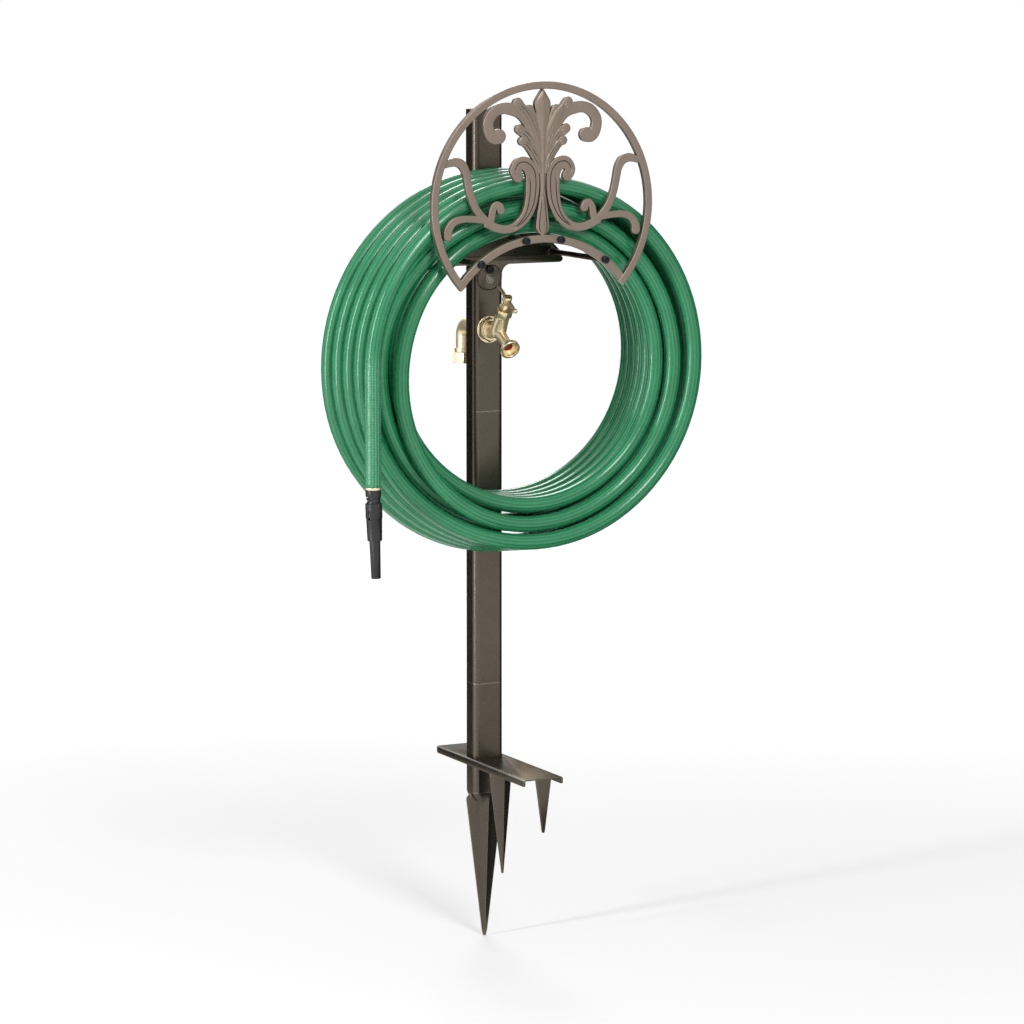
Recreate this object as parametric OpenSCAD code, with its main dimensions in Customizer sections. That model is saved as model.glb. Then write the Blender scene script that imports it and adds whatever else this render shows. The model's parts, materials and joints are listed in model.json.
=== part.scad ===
// Garden hose stand: a spiked post with a decorative hanger, a tap and a coiled hose.
// Origin: on the post's axis at the underside of the step plate, which is ground level.
// +X is to the right seen from the front, the front faces -Y, +Z is up. Millimetres.

/* [Post] */
// Width of the post tube, side to side
post_w = 45; // [42:1:50]
// Depth of the post tube, front to back
post_d = 32; // [30:1:36]
// Corner radius of the post tube
post_r = 8; // [4:1:10]
// Wall of the post tube
post_wall = 1.6; // [1.2:0.1:2.5]
// Top of the upper tube above the ground
post_top = 900; // [880:5:960]
// Height of the joint between the upper and the middle tube
high_seam = 487; // [440:1:500]
// Height of the joint between the middle and the lower tube
low_seam = 106; // [80:1:160]
// Depth of the lower tube below the ground
post_sink = 48; // [40:1:60]
// Gap that shows as the line between two tubes
seam_gap = 0.5; // [0.3:0.1:1]
// Length of each sleeve inside a joint
sleeve_len = 90; // [60:5:120]
// Wall of the joining sleeves
sleeve_wall = 1.5; // [1:0.1:2]
// Thickness of the cap on top of the post
cap_t = 3; // [2:0.5:5]

/* [Step plate and spikes] */
// Width of the step plate
step_w = 59; // [56:1:80]
// Reach of the step plate in front of the post's axis
step_front = 184.5; // [150:0.5:210]
// Reach of the step plate behind the post's axis
step_back = 92.5; // [60:0.5:120]
// Thickness of the step plate and its prongs
step_t = 2; // [2:0.5:4]
// Inner radius of the bends along the step plate's sides
step_bend = 0.5; // [0.5:0.5:3]
// Depth of the step plate's side flanges below the ground
flange_drop = 8; // [7:0.5:16]
// Width of the front prong where it leaves the plate
front_prong_w = 24; // [18:1:30]
// Length of the front prong below the plate
front_prong_len = 74; // [50:1:90]
// Width of the folded prong at its top
fold_prong_w = 36; // [28:1:44]
// Depth of the folded prong's fold
fold_prong_d = 14; // [10:1:18]
// Length of the folded prong below the plate
fold_prong_len = 155; // [110:1:180]
// Distance of the folded prong in front of the post's axis
fold_prong_y = 58; // [54:1:80]
// Width of the main spike at its shoulders
spike_w = 57; // [50:1:64]
// Depth of the main spike at its shoulders
spike_d = 30; // [24:1:36]
// Depth of the main spike's point below the ground
spike_depth = 256; // [220:1:300]

/* [Front casting] */
// Outer radius of the ring
ring_r = 165; // [155:1:175]
// Height of the ring's centre
ring_z = 782; // [775:1:800]
// Width of the ring's band
ring_band = 10; // [8:0.5:12]
// Thickness of the ring, front to back
cast_t = 8; // [6:0.5:10]
// Distance of the casting's front face before the post's axis
cast_front = 182.5; // [182.5:0.5:200]
// Angle below the horizontal at which the ring ends
ring_end_angle = 42.5; // [38:0.5:48]
// Radius of the arched bar that closes the ring, at its middle
arch_bar_r = 154; // [150:0.5:160]
// Drop from the ring's centre to the crown of the arched bar's middle line
arch_drop = 45; // [42:0.5:48]
// Width of the arched bar
arch_bar_w = 10.8; // [9:0.1:13]
// Thickness of the ornament inside the ring
ornament_t = 6.5; // [4:0.5:8]

/* [Hanger] */
// Thickness of the pressed hanger plate
plate_t = 3; // [2:0.5:4]
// Half width of the hanger plate
plate_half = 111; // [100:1:120]
// Half width of the saddle lip
lip_half = 95; // [80:1:100]
// Radius of the hanger plate's arched top
saddle_r = 149; // [140:1:156]
// Rise of that arch's crown above the crown of the casting's arched bar
saddle_rise = 18; // [14:0.5:20]
// Depth of the saddle lip in front of the post
saddle_depth = 44; // [30:1:46]
// Bottom edge of the hanger plate's rolled rail
rail_z = 690.5; // [686:0.5:694]
// Height of the rolled rail
rail_h = 6.5; // [5:0.5:8]
// Width of the tab that is bolted to the post
tab_w = 37; // [32:1:40]
// Height of the middle of the tab's round end
tab_z = 673; // [670:0.5:676]
// Distance of the stepped rivet below the bracket bolt
rivet_drop = 13; // [12.5:0.5:15]
// Diameter of the stepped rivet
rivet_d = 14; // [10:0.5:14]
// Height of the bracket bolt
bolt_z = 684; // [682:0.5:688]
// Diameter of the four hanger rods
rod_d = 7.5; // [6:0.5:8]
// Distance of the two inner rods from the middle
inner_rod_x = 26; // [26:0.5:32]
// Distance of the two outer rods from the middle
outer_rod_x = 93; // [86:0.5:98]
// Rise of the inner rods from the casting to the hanger plate
inner_rod_rise = 8; // [4:0.5:9]
// Diameter of the screws that hold the casting
face_screw_d = 5; // [4:0.5:5.5]
// Diameter of the bracket bolt
bolt_d = 6; // [5:0.5:8]

/* [Tap] */
// Height of the tap's pipe
tap_z = 601; // [590:1:615]
// Distance of the tap's middle in front of the post's axis
tap_reach = 44.5; // [42:0.5:50]
// Forward lean of the tap's stem and drop of its outlet
tap_tilt = 31; // [20:1:40]
// Diameter of the pipe that passes through the post
pipe_d = 21; // [19:0.5:22]
// Bore of the pipe
pipe_bore = 14; // [10:0.5:15]
// Width of the hexagonal nuts on the pipe, across their flats
pipe_nut_af = 29; // [28:0.5:34]
// Thickness of those nuts
pipe_nut_t = 6; // [5:0.5:8]
// Diameter of the round washers under those nuts
pipe_washer_d = 37; // [35:0.5:40]
// Distance of the outlet's mouth from the tap's middle
outlet_len = 45; // [40:0.5:50]
// Diameter of the outlet's tube behind its collar
outlet_tube_d = 15; // [14.5:0.5:17]
// Diameter of the outlet's collar
outlet_d = 28; // [27:0.5:32]
// Length of the outlet's collar without its conical back
outlet_collar_len = 6.5; // [5:0.5:9]
// Diameter of the outlet's mouth
mouth_d = 21; // [18:0.5:22]
// Depth of the outlet's mouth
mouth_depth = 8; // [7:0.5:9]
// Diameter of the sealing washer behind the mouth
mouth_seal_d = 13; // [12:0.5:13.5]
// Diameter of the tap's body under the bonnet
neck_d = 21; // [20:0.5:24]
// Height of the bonnet's underside above the tap's middle
bonnet_base = 27; // [25:0.5:28]
// Height of the bonnet's hexagon
bonnet_h = 12; // [10:0.5:12.5]
// Width of the bonnet across its flats
bonnet_af = 21.5; // [20:0.5:24]
// Diameter of the valve stem
stem_d = 8; // [7:0.5:8.5]
// Distance of the handle's hub from the tap's middle
hub_height = 54; // [53:0.5:60]
// Diameter of the handle's hub
hub_d = 16.4; // [14:0.2:17]
// Length of the handle's bar
handle_len = 63; // [50:1:70]
// Diameter of the handle's bar
handle_bar_d = 5; // [4.5:0.5:6.5]
// Turns of the handle from shut to open
handle_turns = 1.75; // [1:0.25:2]
// Lift of the stem in one turn
thread_pitch = 2.5; // [1.5:0.25:2.5]

/* [Water inlet] */
// Distance of the inlet elbow behind the post's axis
elbow_y = 62; // [58:1:70]
// Diameter of the elbow
elbow_d = 24; // [22:0.5:25]
// Bend radius of the elbow's middle line
elbow_bend = 15; // [14:0.5:18]
// Length of the elbow's leg between its bend and its flange
elbow_leg = 17; // [12:0.5:24]
// Width of the swivel nut across its flats
inlet_nut_af = 30; // [29.5:0.5:34]
// Height of the swivel nut
inlet_nut_h = 15; // [14:0.5:18]
// Radius of the swivel nut's hose thread
inlet_thread_r = 13.25; // [12.8:0.05:13.6]

/* [Hose] */
// Outside diameter of the hose
hose_d = 22; // [18:0.5:22]
// Height at which the straight tail ends in its coupling
tail_end_z = 413; // [380:1:450]
// Height at which the hidden inner end meets its coupling
inner_end_z = 482; // [470:1:500]
// Diameter of the swivel nut on that end
end_nut_d = 30; // [29:0.5:34]

/* [Nozzle] */
// Largest diameter of the nozzle's body
nozzle_d = 23.6; // [23:0.2:26]
// Lean of the hanging nozzle, seen from the photo's side
nozzle_lean = 1.6; // [0:0.1:2]
// Length of the nozzle's body with its collar
nozzle_body_len = 68; // [60:1:80]
// Length of the upper, thickest part of the body
grip_len = 20; // [14:1:24]
// Length of the barrel that shows below the body
barrel_len = 51; // [40:1:60]
// Diameter of the barrel at its top
barrel_d = 15.4; // [14:0.2:16]
// Length of the barrel that slides in the body
barrel_hold = 20; // [18:1:24]
// Diameter of the barrel at its mouth
barrel_tip_d = 12.8; // [11:0.2:14]

/* [Hidden] */
$fn = 48;
fit = 0.2;
run_fit = 0.08;
thread_relief = 0.4;
bronze = [0.42, 0.37, 0.32];
taupe = [0.58, 0.52, 0.46];
brass = [0.82, 0.72, 0.52];
black = [0.1, 0.1, 0.1];
green = [0.2, 0.58, 0.4];
red = [0.6, 0.08, 0.06];

ring_scale = ring_r / 165;
arch_bar_z = ring_z - arch_drop * ring_scale - arch_bar_r;
saddle_z = arch_bar_z + arch_bar_r + saddle_rise - saddle_r;
post_front = -post_d / 2;
post_rear = post_d / 2;
cast_rear = -cast_front + cast_t;
plate_front = post_front - plate_t;
bore_w = post_w - 2 * post_wall;
bore_d = post_d - 2 * post_wall;
bore_r = post_r - post_wall;
arch_bar_end = acos(arch_end_x() / arch_bar_r);
inner_rod_z = arch_height(inner_rod_x);
outer_rod_z = arch_height(outer_rod_x);
screw_head_r = face_screw_d;
screw_head_h = face_screw_d;
screw_grip = 12;
bolt_head_r = bolt_d * 0.9;
bolt_head_h = bolt_d * 0.6;
stem_lift = handle_turns * thread_pitch;
bonnet_top = bonnet_base + bonnet_h;
pack_top = bonnet_top + 6;
pack_seat = 8;
seal_seat = 3;
valve_seal_top = 2.2;
hose_r = hose_d / 2;
echo(coil_length_m = coil_length() / 1000);
echo(coil_gap_mm = coil_gap());

// Middle of the arched bar where it runs into the ring
function arch_end_x() =
    let (ring_mid = ring_r - ring_band / 2,
         apart = ring_z - arch_bar_z,
         up = (apart * apart + arch_bar_r * arch_bar_r - ring_mid * ring_mid) / (2 * apart))
    sqrt(arch_bar_r * arch_bar_r - up * up);
function arch_height(x) = arch_bar_z + sqrt(arch_bar_r * arch_bar_r - x * x);
function saddle_height(x) = saddle_z + sqrt(saddle_r * saddle_r - x * x);

// General shapes

module rounded_rectangle(w, d, r) {
    square([w - 2 * r, d], center = true);
    square([w, d - 2 * r], center = true);
    for (x = [-1, 1], y = [-1, 1])
        translate([x * (w / 2 - r), y * (d / 2 - r)]) circle(r);
}

module hex_nut(af, h, bore_r = 0) {
    difference() {
        intersection() {
            cylinder(d = af / cos(30), h = h, $fn = 6);
            union() {
                cylinder(r1 = af * 0.5, r2 = af * 0.5 + h / 2, h = h / 2);
                translate([0, 0, h / 2]) cylinder(r1 = af * 0.5 + h / 2, r2 = af * 0.5, h = h / 2);
            }
        }
        if (bore_r > 0) translate([0, 0, -1]) cylinder(r = bore_r, h = h + 2);
    }
}

// Everything here is drawn along +Z and then laid to point forwards, towards -Y
module facing_front(y, z, x = 0) {
    translate([x, y, z]) rotate([90, 0, 0]) children();
}

// Post

module post_tube(z0, z1) {
    translate([0, 0, z0]) linear_extrude(z1 - z0) difference() {
        rounded_rectangle(post_w, post_d, post_r);
        rounded_rectangle(bore_w, bore_d, bore_r);
    }
}

module sleeve(z) {
    w = bore_w - 2 * fit;
    d = bore_d - 2 * fit;
    r = bore_r - fit;
    translate([0, 0, z - sleeve_len / 2]) linear_extrude(sleeve_len) difference() {
        rounded_rectangle(w, d, r);
        rounded_rectangle(w - 2 * sleeve_wall, d - 2 * sleeve_wall, r - sleeve_wall);
    }
}

module post_lower() {
    color(bronze) post_tube(-post_sink, low_seam - seam_gap / 2);
}

module post_middle() {
    color(bronze) post_tube(low_seam + seam_gap / 2, high_seam - seam_gap / 2);
}

module post_upper() {
    color(bronze) difference() {
        post_tube(high_seam + seam_gap / 2, post_top);
        facing_front(post_rear + 1, tap_z) cylinder(d = pipe_d + 2 * fit, h = post_d + 2);
        facing_front(post_rear + 1, bolt_z) cylinder(d = bolt_d + 2 * fit, h = post_d + 2);
    }
}

module lower_sleeve() {
    color(bronze) sleeve(low_seam);
}

module upper_sleeve() {
    color(bronze) sleeve(high_seam);
}

module post_cap() {
    color(bronze) {
        translate([0, 0, post_top]) linear_extrude(cap_t)
            rounded_rectangle(post_w, post_d, post_r);
        translate([0, 0, post_top - 4 * cap_t]) linear_extrude(4 * cap_t)
            rounded_rectangle(bore_w - 2 * fit, bore_d - 2 * fit, bore_r - fit);
    }
}

// Step plate and spikes

// The plate's bent section, seen from the front
module step_section() {
    module bent(inset) {
        w = step_w - 2 * inset;
        r = step_bend + step_t - inset;
        translate([0, step_t - inset - 2 * flange_drop])
            rounded_rectangle(w, 4 * flange_drop, r);
    }
    difference() {
        bent(0);
        bent(step_t);
    }
}

// The plate's outline, seen from the side, with the flanges' rounded lower corners
module step_side() {
    corner = flange_drop * 0.4;
    translate([-step_front, -flange_drop + corner])
        square([step_front + step_back, flange_drop - corner + step_t]);
    translate([-step_front + corner, -flange_drop])
        square([step_front + step_back - 2 * corner, flange_drop]);
    for (y = [-step_front + corner, step_back - corner])
        translate([y, -flange_drop + corner]) circle(corner);
}

module step_plate() {
    prong_tip = front_prong_w * 0.075;
    color(bronze) difference() {
        union() {
            intersection() {
                facing_front(step_back, 0) linear_extrude(step_front + step_back)
                    step_section();
                rotate([90, 0, 90]) linear_extrude(step_w + 2, center = true) step_side();
            }
            translate([0, -step_front + step_t, 0]) rotate([90, 0, 0]) linear_extrude(step_t)
                polygon([
                    [-front_prong_w / 2, step_t / 2], [front_prong_w / 2, step_t / 2],
                    [prong_tip, -front_prong_len + prong_tip], [0, -front_prong_len],
                    [-prong_tip, -front_prong_len + prong_tip]
                ]);
        }
        translate([0, 0, -1]) linear_extrude(step_t + 2)
            rounded_rectangle(post_w + 2 * fit, post_d + 2 * fit, post_r + fit);
    }
}

// One leaf of the folded prong, from its ridge to its edge
module folded_leaf(side) {
    tip = 0.07;
    slant = [side * fold_prong_w / 2, fold_prong_d];
    leaf = [[0, 0], slant, slant + [0, step_t], [0, step_t]];
    translate([0, -fold_prong_y - fold_prong_d / 2, 0]) mirror([0, 0, 1])
        linear_extrude(fold_prong_len, scale = tip) polygon(leaf);
}

module folded_prong() {
    color(bronze) {
        folded_leaf(-1);
        folded_leaf(1);
    }
}

// Four-pointed section of the main spike, with hollows between its ridges
function spike_section() = [
    for (i = [0:7])
        let (a = i * 45,
             point = [spike_w / 2 * cos(a), spike_d / 2 * sin(a)],
             hollow = [spike_w * 0.19 * sign(cos(a)), spike_d * 0.21 * sign(sin(a))])
        i % 2 == 0 ? point : hollow
];

module ground_spike() {
    shoulder = spike_w * 0.2;
    top = -post_sink;
    tang = 60;
    color(bronze) {
        translate([0, 0, top - shoulder])
            linear_extrude(shoulder, scale = 0.78) polygon(spike_section());
        translate([0, 0, top - shoulder]) mirror([0, 0, 1])
            linear_extrude(spike_depth + top - shoulder, scale = 0.12) polygon(spike_section());
        translate([0, 0, top - shoulder / 2]) linear_extrude(shoulder / 2 + tang)
            rounded_rectangle(bore_w - 2 * fit, bore_d - 2 * fit, bore_r - fit);
    }
}

// Front casting. A stroke is a curved bar through points of [x, height, half width],
// with heights above the ring's centre, smoothed between its points.

function ease(t) = t <= 0 ? 0 : t >= 1 ? 1 : t * t * (3 - 2 * t);
function mix(a, b, t) = a + (b - a) * t;
function curve_point(a, b, c, d, t) =
    0.5 * (2 * b + (c - a) * t + (2 * a - 5 * b + 4 * c - d) * t * t
        + (3 * b - a - 3 * c + d) * t * t * t);
function smooth_run(c, n) = [
    for (i = [0:len(c) - 2], j = [0:n - 1])
        curve_point(c[max(i - 1, 0)], c[i], c[i + 1], c[min(i + 2, len(c) - 1)], j / n),
    c[len(c) - 1]
];
function heading(p, i) =
    let (a = p[max(i - 1, 0)], b = p[min(i + 1, len(p) - 1)], d = [b[0] - a[0], b[1] - a[1]])
    d / norm(d);
// How far a place lies outside the bar's own body, less than 0 where it lies inside
function outside(p, place) =
    min([for (q = p) norm([place[0] - q[0], place[1] - q[1]]) - q[2]]);
// One edge of the bar, without the places that a tight bend would fold into its body
function edge(p, side) = [
    for (i = [0:len(p) - 1])
        let (h = heading(p, i), w = side * p[i][2],
             place = [p[i][0] - h[1] * w, p[i][1] + h[0] * w])
        if (outside(p, place) > -0.05) place
];
// Round end of the bar, from its edge on one side to its edge on the other
function round_end(p, i, side) =
    let (h = heading(p, i), a0 = atan2(h[1], h[0]) + side * 90)
    [for (a = [20:20:160]) [p[i][0], p[i][1]] + p[i][2] * [cos(a0 - a), sin(a0 - a)]];
function reversed(v) = [for (i = [len(v) - 1:-1:0]) v[i]];

spear = [
    [0, 154, 0.6], [0, 149, 5], [0, 138, 12], [0, 120, 10], [0, 100, 7.8], [0, 75, 6.6],
    [0, 45, 5.4], [0, 27, 4], [0, 14, 4.2], [0, 0, 6.4], [0, -22, 9.6], [0, -32, 8.6], [0, -38, 3]
];
main_scroll = [
    [35, 38, 7], [41, 46, 8], [35, 56, 8.4], [24, 55, 9], [16.5, 44, 9.6], [15, 29, 9.4],
    [16, 11, 8.8], [19.5, -3, 8], [27, -16, 7], [39, -26.5, 6], [53, -30.5, 5.6],
    [67, -29.5, 5.8], [80, -22, 5.8], [92, -10, 5.5], [102, 5, 5.3], [108, 20, 5.2],
    [111, 36, 5.2], [114, 49, 5.6], [121, 58, 6.2], [130, 61, 5.6], [143, 58.5, 4]
];
small_curl = [[84, -20, 5], [78.5, -11, 5.2], [76, -2, 5], [70, 2.5, 5], [62.5, 0.5, 5.4], [61, -5, 6]];
low_branch = [
    [90, -14, 4], [103, -16.5, 4.8], [118, -15.5, 4.8], [131, -19, 5.2], [139, -28, 5.8],
    [141, -39, 6]
];
top_scroll = [
    [7, 84, 7], [18, 107, 8], [30, 121, 8], [45, 129, 8.4], [60, 130, 7.8], [72, 125, 7.6],
    [80, 115, 7.6], [81, 103, 7.8], [75, 94.5, 8.4], [65, 93, 9.6]
];
low_lobe = [[5, 60, 4], [13, 72, 5.6], [22, 81.5, 5.6], [30, 86.5, 6.4]];
side_lobe = [[6, 74, 5], [20, 93, 7], [35, 102, 6.8]];
high_lobe = [[10, 96, 6], [23, 119, 7], [37, 136.5, 7.2]];
inner_lobe = [[8, 90, 6], [14, 110, 7.6], [20, 127, 7]];

module stroke(c, n = 3) {
    run = smooth_run(c, n) * ring_scale;
    last = len(run) - 1;
    translate([0, ring_z]) polygon(concat(
        edge(run, 1), round_end(run, last, 1), reversed(edge(run, -1)), round_end(run, 0, -1)
    ));
}

module ring_outline() {
    far = 2 * ring_r;
    difference() {
        translate([0, ring_z]) circle(ring_r, $fn = 96);
        translate([0, ring_z]) circle(ring_r - ring_band, $fn = 96);
        translate([0, ring_z]) polygon([
            [0, 0], [far * cos(ring_end_angle), -far * sin(ring_end_angle)],
            [0, -2 * far], [-far * cos(ring_end_angle), -far * sin(ring_end_angle)]
        ]);
    }
}

module arch_bar_outline() {
    far = 2 * arch_bar_r;
    difference() {
        translate([0, arch_bar_z]) circle(arch_bar_r + arch_bar_w / 2, $fn = 96);
        translate([0, arch_bar_z]) circle(arch_bar_r - arch_bar_w / 2, $fn = 96);
        translate([0, arch_bar_z]) polygon([
            [0, 0], [far * cos(arch_bar_end), far * sin(arch_bar_end)], [far, -far],
            [-far, -far], [-far * cos(arch_bar_end), far * sin(arch_bar_end)]
        ]);
    }
}

module face_casting() {
    step_in = (cast_t - ornament_t) / 2;
    color(taupe) difference() {
        union() {
            facing_front(cast_rear, 0) linear_extrude(cast_t) {
                ring_outline();
                arch_bar_outline();
                stroke(spear);
            }
            facing_front(cast_rear - step_in, 0) linear_extrude(ornament_t)
                for (side = [0, 1]) mirror([side, 0]) {
                    stroke(main_scroll);
                    stroke(small_curl);
                    stroke(low_branch);
                    stroke(top_scroll);
                    stroke(low_lobe);
                    stroke(side_lobe);
                    stroke(high_lobe);
                    stroke(inner_lobe);
                }
        }
        for (x = [-outer_rod_x, -inner_rod_x, inner_rod_x, outer_rod_x])
            facing_front(cast_rear + 1, arch_height(x), x)
                cylinder(d = face_screw_d + 2 * fit, h = cast_t + 2);
    }
}

module face_screws() {
    color(black) for (x = [-outer_rod_x, -inner_rod_x, inner_rod_x, outer_rod_x])
        facing_front(cast_rear + screw_grip, arch_height(x), x) difference() {
            union() {
                cylinder(d = face_screw_d, h = screw_grip + cast_t);
                translate([0, 0, screw_grip + cast_t]) cylinder(r = screw_head_r, h = screw_head_h);
            }
            translate([0, 0, screw_grip + cast_t + screw_head_h * 0.4])
                cylinder(r = screw_head_r * 0.5, h = screw_head_h, $fn = 6);
        }
}

// Hanger

// A round bar from point to point, with a slight swelling where it is bent
module bar_run(points, d) {
    for (i = [0:len(points) - 2]) {
        run = points[i + 1] - points[i];
        translate(points[i]) rotate([0, acos(run[2] / norm(run)), atan2(run[1], run[0])])
            cylinder(d = d, h = norm(run));
    }
    for (i = [1:len(points) - 2]) translate(points[i]) sphere(d = d * 1.04);
}

module rod_socket(x, z) {
    facing_front(cast_rear + screw_grip + 1, z, x)
        cylinder(d = face_screw_d + 2 * run_fit, h = screw_grip + 2);
}

module inner_rods() {
    bend = 18;
    color(bronze) for (x = [-inner_rod_x, inner_rod_x]) difference() {
        bar_run([
            [x, cast_rear, inner_rod_z], [x, cast_rear + bend, inner_rod_z],
            [x, plate_front - bend / 3, inner_rod_z + inner_rod_rise],
            [x, post_front, inner_rod_z + inner_rod_rise]
        ], rod_d);
        rod_socket(x, inner_rod_z);
    }
}

module outer_rods() {
    color(bronze) for (x = [-outer_rod_x, outer_rod_x]) difference() {
        bar_run([[x, cast_rear, outer_rod_z], [x, post_front, outer_rod_z]], rod_d);
        rod_socket(x, outer_rod_z);
    }
}

function arc_points(x, z, r, from, to, n = 8) = [
    for (i = [0:n]) let (a = mix(from, to, i / n)) [x + r * cos(a), z + r * sin(a)]
];

// Right half of the plate's outline, from the arch's crown down to the tab's lowest point
function plate_side() =
    let (arch_r = saddle_r - plate_t / 2,
         corner = rail_h * 0.9,
         fillet = min(14, rail_z - tab_z),
         edge_angle = acos(plate_half / arch_r))
    concat(
        arc_points(0, saddle_z, arch_r, 90, edge_angle, 20),
        arc_points(plate_half - corner, rail_z + corner, corner, 0, -90),
        arc_points(tab_w / 2 + fillet, rail_z - fillet, fillet, 90, 180),
        arc_points(0, tab_z, tab_w / 2, 0, -90, 16)
    );

module plate_outline() {
    side = plate_side();
    inner = [for (i = [len(side) - 2:-1:1]) [-side[i][0], side[i][1]]];
    polygon(concat(side, inner));
}

module hanger_plate() {
    color(bronze) difference() {
        union() {
            facing_front(post_front, 0) linear_extrude(plate_t) plate_outline();
            facing_front(post_front, 0) linear_extrude(saddle_depth) intersection() {
                difference() {
                    translate([0, saddle_z]) circle(saddle_r, $fn = 96);
                    translate([0, saddle_z]) circle(saddle_r - plate_t, $fn = 96);
                }
                translate([-lip_half, saddle_z]) square([2 * lip_half, 2 * saddle_r]);
            }
            facing_front(post_front, 0) linear_extrude(2 * plate_t) intersection() {
                plate_outline();
                translate([-plate_half, rail_z]) square([2 * plate_half, rail_h]);
            }
        }
        for (x = [-1, 1]) {
            facing_front(post_front + 1, inner_rod_z + inner_rod_rise, x * inner_rod_x)
                cylinder(d = rod_d + 2 * fit, h = plate_t + 2);
            facing_front(post_front + 1, outer_rod_z, x * outer_rod_x)
                cylinder(d = rod_d + 2 * fit, h = 2 * plate_t + 2);
        }
        facing_front(post_front + 1, bolt_z) cylinder(d = bolt_d + 2 * fit, h = plate_t + 2);
    }
}

module bracket_bolt() {
    color(black) facing_front(post_rear + bolt_d, bolt_z) {
        cylinder(d = bolt_d, h = post_d + plate_t + bolt_d);
        translate([0, 0, post_d + plate_t + bolt_d]) difference() {
            cylinder(r1 = bolt_head_r, r2 = bolt_head_r * 0.8, h = bolt_head_h);
            translate([0, 0, bolt_head_h * 0.4])
                cylinder(r = bolt_head_r * 0.4, h = bolt_head_h, $fn = 6);
        }
    }
}

module bracket_nut() {
    color(black) facing_front(post_rear + bolt_d * 0.8, bolt_z)
        hex_nut(bolt_d * 1.65, bolt_d * 0.8, bolt_d / 2 + run_fit);
}

module bracket_rivet() {
    step_h = 1;
    color(bronze) facing_front(plate_front, bolt_z - rivet_drop) {
        cylinder(d = rivet_d, h = step_h);
        cylinder(d = rivet_d * 0.6, h = 2 * step_h);
    }
}

// Tap

module tap_frame() {
    translate([0, -tap_reach, tap_z]) rotate([tap_tilt, 0, 0]) children();
}

module tap_pipe() {
    color(brass) facing_front(elbow_y - elbow_bend, tap_z) difference() {
        cylinder(d = pipe_d, h = elbow_y - elbow_bend + tap_reach - 14);
        translate([0, 0, -1]) cylinder(d = pipe_bore, h = elbow_y + tap_reach);
    }
}

module pipe_washer(y) {
    color(brass) facing_front(y, tap_z) difference() {
        cylinder(d = pipe_washer_d, h = 1.5);
        translate([0, 0, -1]) cylinder(d = pipe_d + 2 * run_fit, h = 4);
    }
}

module pipe_nut(y) {
    color(brass) facing_front(y, tap_z) rotate([0, 0, 30])
        hex_nut(pipe_nut_af, pipe_nut_t, pipe_d / 2 + run_fit);
}

module front_washer() {
    pipe_washer(post_front);
}

module front_nut() {
    pipe_nut(post_front - 1.5);
}

module rear_washer() {
    pipe_washer(post_rear + 1.5);
}

module rear_nut() {
    pipe_nut(post_rear + 1.5 + pipe_nut_t);
}

module tap_body() {
    neck_r = neck_d / 2;
    tube_r = outlet_tube_d / 2;
    inlet_r = pipe_d / 2 + 2.2;
    inlet_len = tap_reach + post_front - 1.5 - pipe_nut_t;
    seat_z = -5;
    collar_z = outlet_len - outlet_collar_len;
    mouth_z = outlet_len - mouth_depth;
    cone = 4;
    color(brass) difference() {
        union() {
            tap_frame() {
                sphere(r = neck_r + 1);
                cylinder(r1 = neck_r + 1, r2 = neck_r, h = bonnet_base);
                rotate([90, 0, 0]) {
                    cylinder(r1 = neck_r, r2 = tube_r, h = outlet_len * 0.4);
                    cylinder(r = tube_r, h = collar_z);
                    translate([0, 0, collar_z - cone])
                        cylinder(r1 = tube_r, r2 = outlet_d / 2 - 0.5, h = cone);
                    translate([0, 0, collar_z]) cylinder(d = outlet_d, h = outlet_collar_len);
                }
            }
            facing_front(-tap_reach + inlet_len, tap_z) cylinder(r = inlet_r, h = inlet_len);
        }
        facing_front(-tap_reach + inlet_len + 1, tap_z)
            cylinder(r = pipe_d / 2 + run_fit, h = inlet_len - 13);
        facing_front(-tap_reach + inlet_len + 1, tap_z)
            cylinder(d = pipe_bore * 0.7, h = inlet_len);
        tap_frame() {
            translate([0, 0, seat_z + 3]) cylinder(r = neck_r - 2, h = bonnet_base - seat_z);
            translate([0, 0, seat_z - 3]) cylinder(d = stem_d, h = 10);
            rotate([90, 0, 0]) {
                translate([0, 0, 4]) cylinder(d = stem_d + 2, h = outlet_len);
                translate([0, 0, mouth_z - seal_seat])
                    cylinder(d = mouth_seal_d + 2 * fit, h = seal_seat + 1);
                translate([0, 0, mouth_z]) cylinder(d = mouth_d, h = mouth_depth + 1);
            }
        }
    }
}

module tap_bonnet() {
    skirt_r = neck_d / 2 - 2 - fit;
    skirt_z = valve_seal_top + stem_lift + 3.4;
    color(brass) tap_frame() difference() {
        union() {
            translate([0, 0, skirt_z]) cylinder(r = skirt_r, h = bonnet_base - skirt_z + 1);
            translate([0, 0, bonnet_base]) cylinder(d = bonnet_af / cos(30), h = bonnet_h, $fn = 6);
        }
        translate([0, 0, skirt_z - 1]) cylinder(d = stem_d + 2 * run_fit, h = bonnet_top);
        translate([0, 0, bonnet_top - pack_seat])
            cylinder(r1 = stem_d / 2 + 1.5, r2 = bonnet_af / 2 + 0.6, h = pack_seat + 0.01);
    }
}

module packing_nut() {
    color(brass) tap_frame() translate([0, 0, bonnet_top - pack_seat]) difference() {
        cylinder(d1 = stem_d + 2.6, d2 = stem_d + 1.2, h = pack_top - bonnet_top + pack_seat);
        translate([0, 0, -1]) cylinder(d = stem_d + 2 * run_fit, h = pack_top);
    }
}

module valve_stem() {
    color(brass) tap_frame() translate([0, 0, 2.5])
        cylinder(d = stem_d, h = hub_height + 2 - 2.5);
}

module valve_washer() {
    color(red) tap_frame() translate([0, 0, valve_seal_top - 4])
        cylinder(d = stem_d + 6, h = 4);
}

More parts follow.
